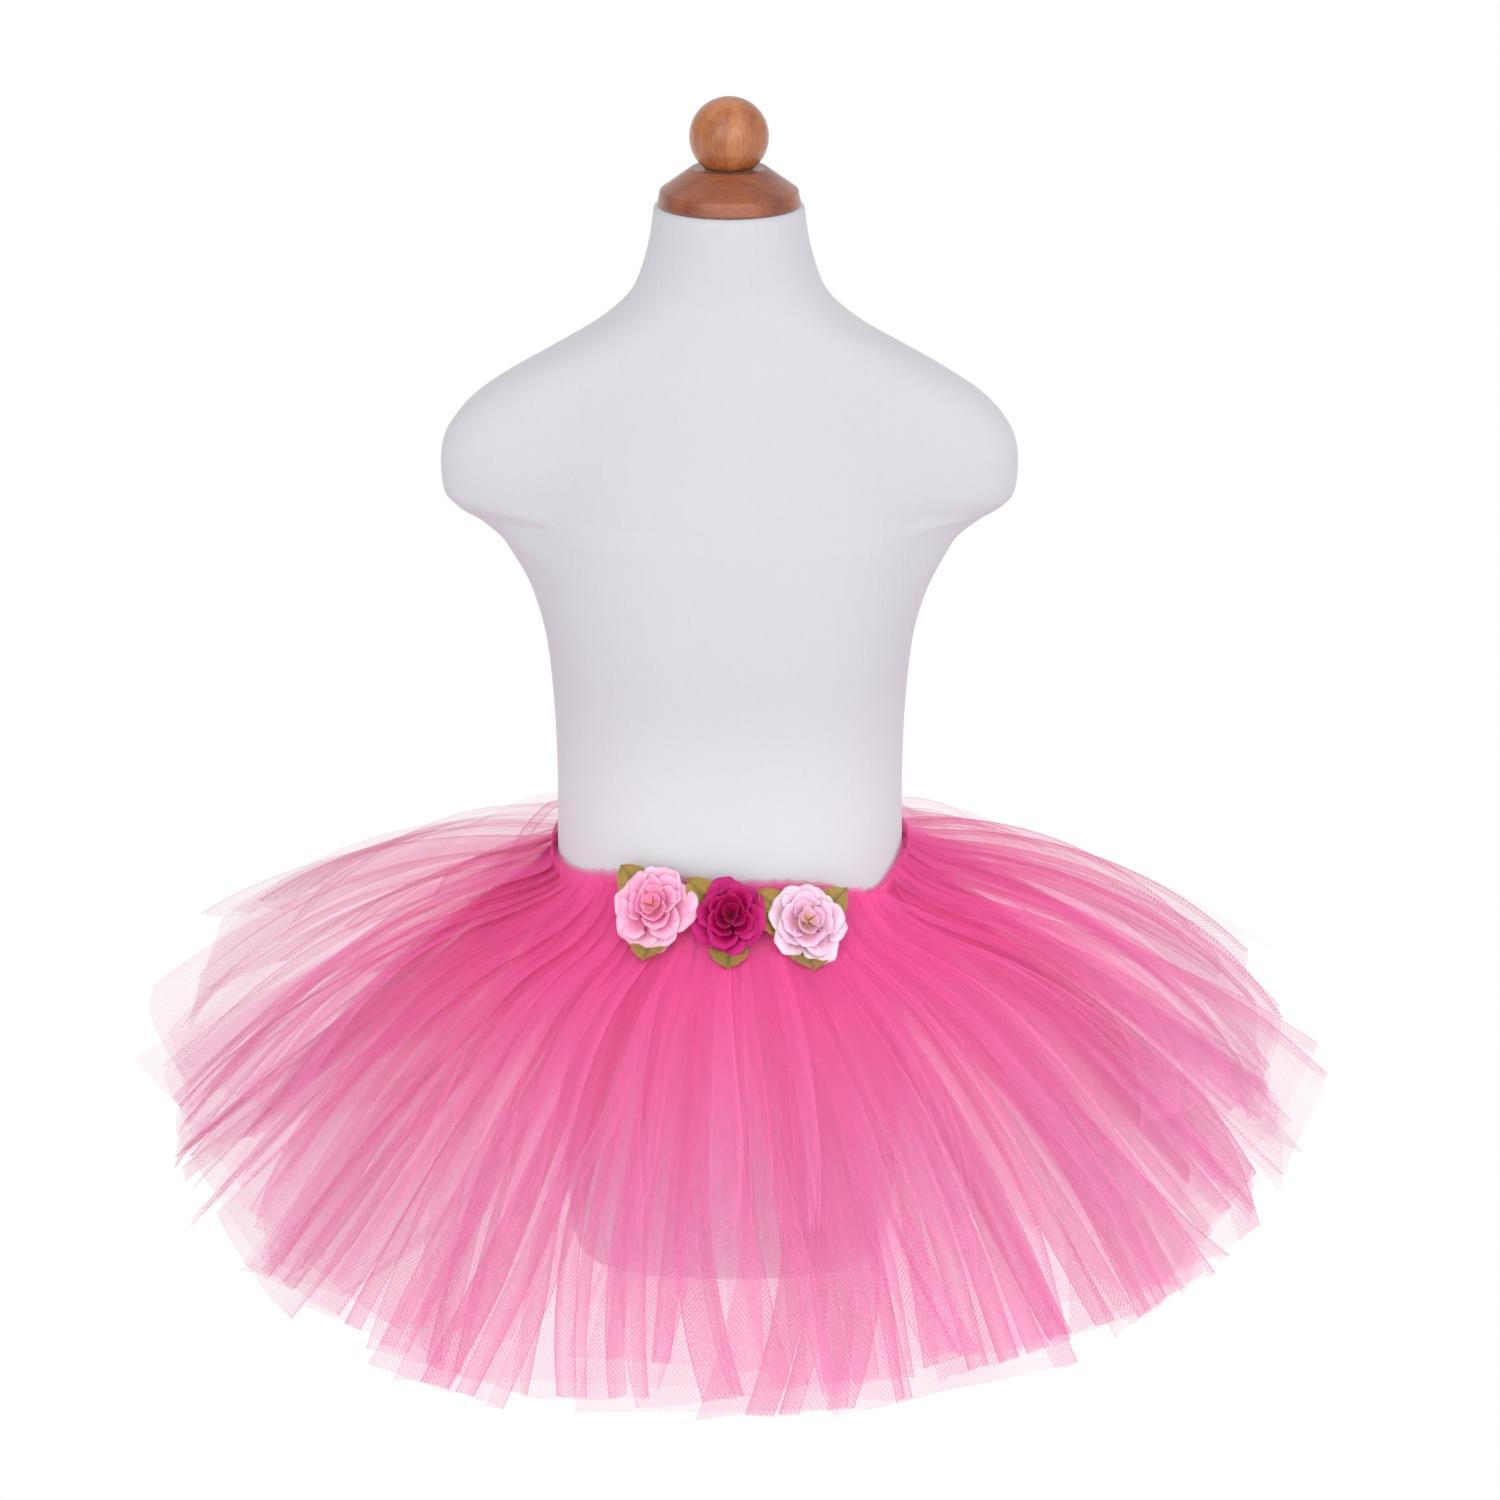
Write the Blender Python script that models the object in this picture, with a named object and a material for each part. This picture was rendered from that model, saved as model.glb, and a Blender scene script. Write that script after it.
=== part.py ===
"""Ballet tutu of knotted tulle strips on a child's tabletop dress form.

The form is a jersey-covered torso with short arm stubs, a turned wooden neck cap and a
ball finial, and it stands on its flat base. The tutu is a waistband covered by the knots
of the strips, four tiers of tulle tails that fan out from it, and three silk roses with
their leaves on the front.

Frame: +Z up, the front faces -Y, and the origin is the middle of the form's flat base.
Sizes are in millimetres and angles in degrees; add_solid turns the points to metres.
"""
import math
from collections import namedtuple

import bmesh
import bpy
from mathutils import Vector

# ---------------------------------------------------------------- driving dimensions
MM = 0.001
CLEARANCE = 0.3           # between two pieces that touch on the real object

# Dress form: the torso is lofted through these level sections, each the smooth union of
# a body oval and, at the shoulders, a flatter oval that reaches into the arm stubs.
FORM_COLUMNS = 36
ARM_BLEND = 8.0           # how sharply the arm oval joins the body oval
ARM_SQUARENESS = 3.2
Section = namedtuple(
    "Section", "height half_width front back squareness arm_reach arm_half_depth"
)
FORM_SECTIONS = [
    Section(0.0, 84.0, 69.0, 69.0, 2.9, 0.0, 0.0),
    Section(6.0, 87.5, 72.5, 72.5, 2.9, 0.0, 0.0),
    Section(50.0, 92.0, 75.0, 75.5, 2.7, 0.0, 0.0),
    Section(110.0, 95.0, 77.0, 78.0, 2.4, 0.0, 0.0),
    Section(170.0, 95.0, 76.5, 76.0, 2.2, 0.0, 0.0),
    Section(236.0, 93.0, 73.0, 72.0, 2.1, 0.0, 0.0),
    Section(280.0, 92.5, 73.0, 71.0, 2.2, 0.0, 0.0),
    Section(320.0, 94.5, 72.5, 71.0, 2.3, 0.0, 0.0),
    Section(352.0, 98.0, 71.3, 72.0, 2.3, 0.0, 0.0),
    Section(375.0, 102.0, 70.0, 72.5, 2.3, 92.0, 20.0),
    Section(391.0, 105.0, 68.6, 72.6, 2.3, 109.0, 24.0),
    Section(402.0, 106.0, 67.3, 72.3, 2.3, 118.0, 25.0),
    Section(409.0, 106.0, 66.3, 72.0, 2.3, 131.0, 25.0),
    Section(413.5, 105.0, 65.6, 71.6, 2.3, 142.0, 27.0),
    Section(419.0, 104.0, 64.7, 71.0, 2.2, 148.5, 30.0),
    Section(426.0, 103.0, 63.3, 70.0, 2.2, 151.5, 32.5),
    Section(444.0, 99.0, 59.0, 67.5, 2.2, 152.5, 35.0),
    Section(457.0, 96.0, 55.3, 65.0, 2.1, 149.5, 35.0),
    Section(468.0, 92.0, 51.8, 61.5, 2.1, 141.5, 34.0),
    Section(479.0, 88.0, 47.8, 57.5, 2.1, 129.0, 33.0),
    Section(489.0, 82.0, 43.8, 52.0, 2.0, 113.0, 32.5),
    Section(500.0, 74.0, 39.7, 47.5, 2.0, 92.0, 33.0),
    Section(511.0, 63.0, 37.5, 44.0, 2.0, 70.0, 34.0),
    Section(521.5, 55.0, 37.0, 42.5, 2.0, 55.0, 35.0),
    Section(532.0, 50.0, 37.0, 41.3, 2.0, 0.0, 0.0),
    Section(545.0, 45.5, 37.5, 40.0, 2.0, 0.0, 0.0),
    Section(562.0, 41.0, 38.3, 38.9, 2.0, 0.0, 0.0),
    Section(577.5, 39.3, 38.5, 38.5, 2.0, 0.0, 0.0),
]

# Turned maple neck cap and ball finial
TURNED_STEPS = 32
CAP_RIM_RADIUS = 37.4
CAP_SHOULDER_RADIUS = 36.0
CAP_TOP_RADIUS = 19.5
CAP_RIM_HEIGHT = 7.6
CAP_HEIGHT = 19.5
CAP_EDGE = 0.9            # how far the cap's lower and upper edges are rounded
BALL_RADIUS = 20.8
BALL_SINK = 4.9           # the flat under the ball lies this far up from a full ball's foot
BALL_PROFILE_STEPS = 9

# Waistband: a plain elastic belt below, and above it the knots that the strips make
BAND_BOTTOM = 206.5
BAND_CLEARANCE = 0.5      # off the form's true oval, whose facets lie a little inside it
BAND_THICKNESS = 2.0
KNOTS_FROM = 223.5
KNOT_COLUMNS = (1.2, 3.6, 3.3)      # bulge of a knot at each column of its pleat
KNOT_PROFILE = ((3.5, 0.9), (9.0, 1.0), (12.5, 0.35))   # height in the knot, share of bulge

# Tulle: four tiers of tails
PLEAT_COLUMNS = ("notch", "left corner", "right corner")
PLEAT_WAVE = (-1.0, 0.5, 1.0)       # height of each column in the wave
PLEAT_REACH = (0.9, 0.985, 1.0)    # how far down the tail each column reaches
PLEATS = 36                         # in each tier, and as many knots on the band
HALF_WAY_OUT = 115.0                # the pleats are evenly spaced at this offset
FACING_STEPS = 720
TULLE_WALL = 1.3
TAIL_ROWS = (0.0, 0.065, 0.15, 0.32, 0.62, 1.0)
ROOT_WAVE = 0.45                    # half the wave's height where the tail is tied
WAVE_GROWTH = 0.8                   # the wave grows with this power of the way down
SLOPE_STEP = 0.5                    # length over which a tail's slope is measured
ROOT_CLEARANCE = 0.4                # off the band, so that no pleat's fold touches it
ROOT_OFFSET = BAND_CLEARANCE + BAND_THICKNESS + ROOT_CLEARANCE
Tier = namedtuple("Tier", "name root_height start_droop end_droop length hem_wave seed")
TIERS = [
    Tier("tulle_tier_1", 221.0, 12.0, 28.0, 239.0, 7.5, 3),
    Tier("tulle_tier_2", 217.0, 24.0, 39.0, 252.0, 7.5, 8),
    Tier("tulle_tier_3", 213.0, 35.0, 47.0, 261.0, 7.0, 14),
    Tier("tulle_tier_4", 209.0, 44.0, 54.0, 261.0, 6.0, 21),
]
LENGTH_SCATTER = 9.0      # the tails are cut by hand, so their ends differ by this much
DROOP_SCATTER = 2.2

# The roses press the tails down where they leave the band at the front
PRESS_DEPTH = 17.0
PRESS_PEAK = 34.0         # distance from the band where the dip is deepest
PRESS_SPREAD = 74.0       # degrees to each side of the front

# Roses: x of the centre, its height and its distance in front of the band, the radius,
# and the way that the flower faces: turned to the right, and up from level
Rose = namedtuple("Rose", "name x height standoff radius turned tilt lobes_at")
ROSES = [
    Rose("rose_left", -39.0, 217.1, 15.2, 20.6, -14.0, 43.0, 10.0),
    Rose("rose_middle", 0.5, 214.5, 16.0, 18.3, 0.0, 43.0, 40.0),
    Rose("rose_right", 40.0, 213.2, 19.8, 20.2, 13.0, 50.0, 70.0),
]
ROSE_SEGMENTS = 20
PETALS = 5
PetalRing = namedtuple("PetalRing", "radius_share out lobe_depth lobe_shift")
ROSE_RINGS = [
    PetalRing(0.22, -6.0, 0.0, 0.0),      # calyx under the flower
    PetalRing(0.55, -0.5, 0.0, 0.0),
    PetalRing(0.97, 3.2, 0.10, 0.0),      # outer petals, back and lip
    PetalRing(1.00, 5.2, 0.10, 0.0),
    PetalRing(0.68, 5.6, 0.04, 0.0),
    PetalRing(0.74, 10.4, 0.10, 36.0),    # middle petals
    PetalRing(0.46, 9.0, 0.04, 36.0),
    PetalRing(0.48, 13.6, 0.10, 0.0),     # inner petals
    PetalRing(0.25, 11.0, 0.0, 0.0),
    PetalRing(0.18, 14.6, 0.0, 0.0),      # bud
]

# Leaves: seen from the front of its rose, each points at a bearing from the right
Leaf = namedtuple("Leaf", "name rose bearing tip_reach width")
LEAVES = [
    Leaf("leaf_1", "rose_left", 134.0, 29.0, 13.0),
    Leaf("leaf_2", "rose_left", 272.0, 28.5, 14.0),
    Leaf("leaf_3", "rose_middle", 141.0, 27.5, 13.0),
    Leaf("leaf_4", "rose_middle", 270.0, 27.5, 13.5),
    Leaf("leaf_5", "rose_right", 137.0, 28.0, 11.0),
    Leaf("leaf_6", "rose_right", 173.0, 22.0, 7.0),
    Leaf("leaf_7", "rose_right", 40.0, 28.5, 12.0),
    Leaf("leaf_8", "rose_right", 264.0, 25.5, 12.0),
]
LEAF_BASE_REACH = 9.0
LEAF_SEAT = 1.1                           # how far it lies behind the petals' backs
LEAF_THICKNESS = 1.0
LEAF_WIDTHS = (0.25, 0.85, 1.0, 0.62)     # share of the width at even steps to the tip
LEAF_RIB_DROP = 0.8                       # the midrib lies below the two edges

# Finishes: sRGB colour, roughness
Finish = namedtuple("Finish", "name colour roughness")
JERSEY = Finish("white cotton jersey", "#E4E3EA", 0.85)
MAPLE = Finish("varnished maple", "#B5714A", 0.35)
TULLE = Finish("pink nylon tulle", "#EE6FA9", 0.6)
LIGHT_SILK = Finish("light pink polyester silk", "#F2A3C8", 0.6)
DARK_SILK = Finish("magenta polyester silk", "#B21A63", 0.6)
BLUSH_SILK = Finish("blush polyester silk", "#F3CFDD", 0.6)
LEAF_SATIN = Finish("olive leaf satin", "#A08A48", 0.5)
ROSE_FINISHES = {
    "rose_left": LIGHT_SILK,
    "rose_middle": DARK_SILK,
    "rose_right": BLUSH_SILK,
}


# ---------------------------------------------------------------- helpers
def clear_scene():
    for obj in list(bpy.data.objects):
        bpy.data.objects.remove(obj, do_unlink=True)


def linear(hex_colour):
    """A linear RGBA colour from an sRGB hex value."""
    shares = [int(hex_colour[i:i + 2], 16) / 255 for i in (1, 3, 5)]
    return [s / 12.92 if s <= 0.04045 else ((s + 0.055) / 1.055) ** 2.4 for s in shares] + [1.0]


def material(finish):
    made = bpy.data.materials.get(finish.name) or bpy.data.materials.new(finish.name)
    made.use_nodes = True
    shader = made.node_tree.nodes["Principled BSDF"]
    shader.inputs["Base Color"].default_value = linear(finish.colour)
    shader.inputs["Roughness"].default_value = finish.roughness
    shader.inputs["Metallic"].default_value = 0.0
    made.diffuse_color = linear(finish.colour)
    return made


def add_solid(name, points, faces, finish, sharp_angle=50.0):
    """Adds a closed solid, from points in millimetres, with its faces turned outwards."""
    mesh = bpy.data.meshes.new(name)
    mesh.from_pydata([Vector(p) * MM for p in points], [], faces)
    shape = bmesh.new()
    shape.from_mesh(mesh)
    bmesh.ops.recalc_face_normals(shape, faces=shape.faces)
    shape.to_mesh(mesh)
    shape.free()
    mesh.shade_smooth()
    mesh.set_sharp_from_angle(angle=math.radians(sharp_angle))
    mesh.materials.append(material(finish))
    obj = bpy.data.objects.new(name, mesh)
    bpy.context.scene.collection.objects.link(obj)
    return obj


def ring_faces(lower, upper, count):
    """Quads between two rings of count points, given the index of each ring's first one."""
    for i in range(count):
        j = (i + 1) % count
        yield lower + i, lower + j, upper + j, upper + i


def add_loft(name, rings, finish):
    """A solid through closed rings from the bottom to the top, with flat ends."""
    count = len(rings[0])
    points = [p for ring in rings for p in ring]
    faces = [tuple(range(count)), tuple(range(len(points) - count, len(points)))]
    for k in range(len(rings) - 1):
        faces += ring_faces(k * count, (k + 1) * count, count)
    return add_solid(name, points, faces, finish)


def add_wall(name, outer_rings, inner_rings, finish):
    """A closed wall between two stacks of rings that start and end side by side."""
    count = len(outer_rings[0])
    points = [p for ring in outer_rings + inner_rings for p in ring]
    inner_start = len(outer_rings) * count
    last_outer = inner_start - count
    last_inner = len(points) - count
    faces = []
    for first, stack in ((0, outer_rings), (inner_start, inner_rings)):
        for k in range(len(stack) - 1):
            faces += ring_faces(first + k * count, first + (k + 1) * count, count)
    faces += ring_faces(0, inner_start, count)
    faces += ring_faces(last_outer, last_inner, count)
    return add_solid(name, points, faces, finish)


def scatter(seed, index):
    """An uneven value from -1 to 1, the same in each run, from two waves out of step."""
    slow = math.sin(seed * 1.7 + index * 2.4)
    fast = math.sin(seed + index * 5.1)
    return 0.6 * slow + 0.4 * fast


# ---------------------------------------------------------------- dress form
def oval_radius(angle, half_width, half_depth, squareness):
    """Distance from the centre of a superellipse to its edge, in a direction."""
    across = abs(math.cos(angle) / half_width) ** squareness
    along = abs(math.sin(angle) / half_depth) ** squareness
    return (across + along) ** (-1 / squareness)


def depth_and_centre(section):
    """Half the depth of a section's oval, and the y of its middle."""
    return (section.front + section.back) / 2, (section.back - section.front) / 2


def form_ring(section):
    half_depth, centre_y = depth_and_centre(section)
    reach = max(section.half_width, section.arm_reach)
    ring = []
    for i in range(FORM_COLUMNS):
        turn = 2 * math.pi * i / FORM_COLUMNS
        angle = math.atan2(half_depth * math.sin(turn), reach * math.cos(turn))
        radius = oval_radius(angle, section.half_width, half_depth, section.squareness)
        if section.arm_reach:
            arm = oval_radius(angle, section.arm_reach, section.arm_half_depth, ARM_SQUARENESS)
            radius = (radius ** ARM_BLEND + arm ** ARM_BLEND) ** (1 / ARM_BLEND)
        ring.append((
            radius * math.cos(angle),
            radius * math.sin(angle) + centre_y,
            section.height,
        ))
    return ring


def add_form():
    add_loft("form_torso", [form_ring(section) for section in FORM_SECTIONS], JERSEY)


def turned_rings(profile, z_start):
    return [
        [
            (
                radius * math.cos(2 * math.pi * i / TURNED_STEPS),
                radius * math.sin(2 * math.pi * i / TURNED_STEPS),
                z_start + z,
            )
            for i in range(TURNED_STEPS)
        ]
        for radius, z in profile
    ]


def add_neck_cap(z_start):
    profile = [
        (CAP_RIM_RADIUS - CAP_EDGE, 0.0),
        (CAP_RIM_RADIUS, CAP_EDGE),
        (CAP_SHOULDER_RADIUS, CAP_RIM_HEIGHT),
        (CAP_TOP_RADIUS + CAP_EDGE, CAP_HEIGHT - CAP_EDGE),
        (CAP_TOP_RADIUS, CAP_HEIGHT),
    ]
    add_loft("neck_cap", turned_rings(profile, z_start), MAPLE)


def add_finial_ball(z_start):
    """The ball, whose foot is a flat that stands on the cap."""
    lowest = math.acos((BALL_RADIUS - BALL_SINK) / BALL_RADIUS)
    crown = math.pi / (2 * BALL_PROFILE_STEPS)
    profile = []
    for k in range(BALL_PROFILE_STEPS + 1):
        from_foot = lowest + (math.pi - lowest - crown) * k / BALL_PROFILE_STEPS
        profile.append((
            BALL_RADIUS * math.sin(from_foot),
            BALL_RADIUS - BALL_SINK - BALL_RADIUS * math.cos(from_foot),
        ))
    add_loft("finial_ball", turned_rings(profile, z_start), MAPLE)


# ---------------------------------------------------------------- waist
def waist_section(height):
    """The form's oval at a height near the waist, between two of its sections."""
    above = next(k for k, section in enumerate(FORM_SECTIONS) if section.height >= height)
    low, high = FORM_SECTIONS[above - 1], FORM_SECTIONS[above]
    share = (height - low.height) / (high.height - low.height)
    return Section(*(a + (b - a) * share for a, b in zip(low, high)))


def waist_point(facing, height, offset):
    """(x, y) where the form's oval at a height faces a direction, moved straight out."""
    oval = waist_section(height)
    half_depth, centre_y = depth_and_centre(oval)
    power = oval.squareness / (oval.squareness - 1)
    nx, ny = math.cos(facing), math.sin(facing)
    wide = (oval.half_width * abs(nx)) ** power
    deep = (half_depth * abs(ny)) ** power
    size = (wide + deep) ** (1 / oval.squareness)
    x = math.copysign(oval.half_width * (oval.half_width * abs(nx)) ** (power - 1) / size, nx)
    y = math.copysign(half_depth * (half_depth * abs(ny)) ** (power - 1) / size, ny)
    return x + offset * nx, y + centre_y + offset * ny


def even_facings(count):
    """Directions whose points are evenly spaced round the skirt, halfway down the tails."""
    fine = [2 * math.pi * i / FACING_STEPS for i in range(FACING_STEPS + 1)]
    places = [Vector(waist_point(facing, KNOTS_FROM, HALF_WAY_OUT)) for facing in fine]
    travelled = [0.0]
    for before, after in zip(places, places[1:]):
        travelled.append(travelled[-1] + (after - before).length)
    facings = []
    step = 0
    for i in range(count):
        wanted = travelled[-1] * i / count
        while travelled[step + 1] <= wanted:
            step += 1
        share = (wanted - travelled[step]) / (travelled[step + 1] - travelled[step])
        facings.append(fine[step] + (fine[step + 1] - fine[step]) * share)
    return facings


def pleat_facings():
    """The direction of each column of pleats round the waist, and its place in its pleat."""
    columns = len(PLEAT_COLUMNS)
    for i, facing in enumerate(even_facings(PLEATS * columns)):
        yield facing, i // columns, i % columns


def add_waistband():
    plain = BAND_CLEARANCE + BAND_THICKNESS
    levels = [(BAND_BOTTOM, 0.0), (KNOTS_FROM, 0.0)]
    levels += [(KNOTS_FROM + up, share) for up, share in KNOT_PROFILE]
    outer = [
        [
            (*waist_point(facing, height, plain + share * KNOT_COLUMNS[column]), height)
            for facing, _, column in pleat_facings()
        ]
        for height, share in levels
    ]
    inner = [
        [
            (*waist_point(facing, height, BAND_CLEARANCE), height)
            for facing, _, _ in pleat_facings()
        ]
        for height in (levels[0][0], levels[-1][0])
    ]
    add_wall("waistband", outer, inner, TULLE)


# ---------------------------------------------------------------- tulle
def press(facing, distance):
    """How far the roses push a tail down, at a distance along it from the band."""
    from_front = abs((math.degrees(facing) - 270 + 180) % 360 - 180)
    sideways = math.exp(-((from_front / PRESS_SPREAD) ** 4))
    along = distance / PRESS_PEAK
    return PRESS_DEPTH * sideways * along * math.exp(1 - along)


def tail_place(tier, facing, distance, droop_shift):
    """(distance out from the band, height) of the middle of a tail's wall.

    The droop grows evenly along the tail, so it hangs in one arc.
    """
    start = math.radians(tier.start_droop + droop_shift * distance / tier.length)
    bend = math.radians(tier.end_droop - tier.start_droop) / tier.length
    end = start + bend * distance
    out = (math.sin(end) - math.sin(start)) / bend
    down = (math.cos(start) - math.cos(end)) / bend
    return out, tier.root_height - down - press(facing, distance)


def tail_points(tier, facing, distance, wave, droop_shift):
    """The outer and inner point of the wall at one place on a tail."""
    out, height = tail_place(tier, facing, distance, droop_shift)
    next_out, next_height = tail_place(tier, facing, distance + SLOPE_STEP, droop_shift)
    slope = math.atan2(height - next_height, next_out - out)
    pair = []
    for side in (TULLE_WALL / 2, -TULLE_WALL / 2):
        away = out + (wave + side) * math.sin(slope)
        if distance == 0:
            away = 0.0
        x, y = waist_point(facing, tier.root_height, ROOT_OFFSET + away)
        pair.append((x, y, height + (wave + side) * math.cos(slope)))
    return pair


def add_tier(tier):
    outer_rings, inner_rings = [], []
    for share in TAIL_ROWS:
        outer, inner = [], []
        for facing, pleat, column in pleat_facings():
            uneven = scatter(tier.seed, pleat * len(PLEAT_COLUMNS) + column)
            length = (tier.length + LENGTH_SCATTER * uneven) * PLEAT_REACH[column]
            wave_height = ROOT_WAVE + (tier.hem_wave - ROOT_WAVE) * share ** WAVE_GROWTH
            droop_shift = DROOP_SCATTER * scatter(tier.seed + 5, pleat)
            above, below = tail_points(
                tier, facing, share * length, wave_height * PLEAT_WAVE[column], droop_shift
            )
            outer.append(above)
            inner.append(below)
        outer_rings.append(outer)
        inner_rings.append(inner)
    add_wall(tier.name, outer_rings, inner_rings, TULLE)


# ---------------------------------------------------------------- roses and leaves
def rose_axes(rose):
    """Right, up and outward directions of a flower."""
    turned, tilt = math.radians(rose.turned), math.radians(rose.tilt)
    right = Vector((math.cos(turned), math.sin(turned), 0.0))
    level = Vector((math.sin(turned), -math.cos(turned), 0.0))
    out = level * math.cos(tilt) + Vector((0.0, 0.0, math.sin(tilt)))
    return right, out.cross(right), out


def rose_centre(rose):
    """The middle of the flower's back, in front of the band's plain wall."""
    oval = waist_section(rose.height)
    half_depth, centre_y = depth_and_centre(oval)
    share = 1 - abs(rose.x / oval.half_width) ** oval.squareness
    front = half_depth * share ** (1 / oval.squareness) - centre_y
    return Vector((rose.x, -front - BAND_THICKNESS - rose.standoff, rose.height))


def add_rose(rose):
    right, up, out = rose_axes(rose)
    centre = rose_centre(rose)
    rings = []
    for petal_ring in ROSE_RINGS:
        ring = []
        for i in range(ROSE_SEGMENTS):
            angle = 2 * math.pi * i / ROSE_SEGMENTS
            lobes = math.cos(PETALS * (angle - math.radians(rose.lobes_at + petal_ring.lobe_shift)))
            radius = rose.radius * petal_ring.radius_share
            radius *= 1 - petal_ring.lobe_depth * (1 - lobes) / 2
            ring.append(
                centre
                + right * radius * math.cos(angle)
                + up * radius * math.sin(angle)
                + out * petal_ring.out
            )
        rings.append(ring)
    add_loft(rose.name, rings, ROSE_FINISHES[rose.name])


def add_leaf(leaf, rose):
    """A pointed leaf, folded a little along its midrib, that starts behind its rose."""
    right, up, out = rose_axes(rose)
    bearing = math.radians(leaf.bearing)
    ahead = right * math.cos(bearing) + up * math.sin(bearing)
    aside = out.cross(ahead)
    # the flower's back rises from its calyx to the rim, and the leaf lies along it
    back, rim = ROSE_RINGS[1], ROSE_RINGS[2]
    rise = (rim.out - back.out) / (rose.radius * (rim.radius_share - back.radius_share))

    def lift_at(reach):
        return back.out - LEAF_SEAT + rise * (reach - rose.radius * back.radius_share)

    steps = len(LEAF_WIDTHS)
    points = []
    for k, share in enumerate(LEAF_WIDTHS):
        reach = LEAF_BASE_REACH + (leaf.tip_reach - LEAF_BASE_REACH) * k / steps
        lift = lift_at(reach)
        for across, drop in ((-1, 0.0), (0, LEAF_RIB_DROP), (1, 0.0)):
            for below in (0.0, LEAF_THICKNESS):
                points.append(
                    rose_centre(rose)
                    + ahead * reach
                    + aside * across * share * leaf.width / 2
                    + out * (lift - drop - below)
                )
    tip = rose_centre(rose) + ahead * leaf.tip_reach
    tip += out * (lift_at(leaf.tip_reach) - LEAF_RIB_DROP)
    points += [tip, tip - out * LEAF_THICKNESS]
    faces = []
    for k in range(steps - 1):
        a, b = 6 * k, 6 * (k + 1)
        faces += [
            (a, a + 2, b + 2, b), (a + 2, a + 4, b + 4, b + 2),
            (a + 1, b + 1, b + 3, a + 3), (a + 3, b + 3, b + 5, a + 5),
            (a, b, b + 1, a + 1), (a + 4, a + 5, b + 5, b + 4),
        ]
    a, t = 6 * (steps - 1), 6 * steps
    faces += [
        (a, a + 2, t), (a + 2, a + 4, t), (a + 3, a + 1, t + 1), (a + 5, a + 3, t + 1),
        (a, t, t + 1, a + 1), (a + 4, a + 5, t + 1, t),
        (0, 1, 3, 2), (2, 3, 5, 4),
    ]
    add_solid(leaf.name, points, faces, LEAF_SATIN)


# ---------------------------------------------------------------- assembly
def main():
    clear_scene()
    add_form()
    neck_top = FORM_SECTIONS[-1].height
    add_neck_cap(neck_top + CLEARANCE)
    add_finial_ball(neck_top + CLEARANCE + CAP_HEIGHT + CLEARANCE)
    add_waistband()
    for tier in TIERS:
        add_tier(tier)
    roses = {rose.name: rose for rose in ROSES}
    for rose in ROSES:
        add_rose(rose)
    for leaf in LEAVES:
        add_leaf(leaf, roses[leaf.rose])


main()
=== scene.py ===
"""Looks of a ballet tutu of knotted tulle strips on a child's tabletop dress form.

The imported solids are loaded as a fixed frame, and each is replaced here by a finer piece
in its own place: the jersey form, its turned wooden cap and ball, the knotted waistband,
four tiers of tulle tails, three silk roses and their leaves.

Sizes are in millimetres and angles in degrees; add_piece turns the points to metres.
"""
import math
import random
from collections import namedtuple

import bmesh
import bpy
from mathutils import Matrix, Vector


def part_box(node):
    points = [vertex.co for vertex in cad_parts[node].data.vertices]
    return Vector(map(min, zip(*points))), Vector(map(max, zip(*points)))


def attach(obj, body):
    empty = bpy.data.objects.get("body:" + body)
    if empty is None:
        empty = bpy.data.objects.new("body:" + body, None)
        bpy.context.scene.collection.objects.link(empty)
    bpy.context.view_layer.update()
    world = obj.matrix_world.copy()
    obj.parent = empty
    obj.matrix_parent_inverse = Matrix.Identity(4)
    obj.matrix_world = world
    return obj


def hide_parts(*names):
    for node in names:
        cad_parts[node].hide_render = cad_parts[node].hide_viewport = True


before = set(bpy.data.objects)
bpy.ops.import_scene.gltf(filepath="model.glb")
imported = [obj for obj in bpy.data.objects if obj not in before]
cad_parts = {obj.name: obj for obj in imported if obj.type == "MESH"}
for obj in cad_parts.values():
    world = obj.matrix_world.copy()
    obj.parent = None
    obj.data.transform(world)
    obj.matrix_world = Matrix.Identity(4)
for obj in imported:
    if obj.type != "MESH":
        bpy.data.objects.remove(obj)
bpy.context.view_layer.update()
BODY = "root"
MM = 0.001

# ---------- sizes shared with the solids
WaistOval = namedtuple("WaistOval", "height half_width front back squareness")
WAIST_BELOW = WaistOval(170.0, 95.0, 76.5, 76.0, 2.2)
WAIST_ABOVE = WaistOval(236.0, 93.0, 73.0, 72.0, 2.1)
BAND_BOTTOM = 206.5
BAND_TOP = 236.0
BAND_THICKNESS = 2.0
KNOTS_FROM = 223.5
ROOT_OFFSET = 2.9  # where the tails start, off the form
HALF_WAY_OUT = 115.0  # the knots are evenly spaced at this offset
FACING_STEPS = 720
SLOPE_STEP = 0.5

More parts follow.
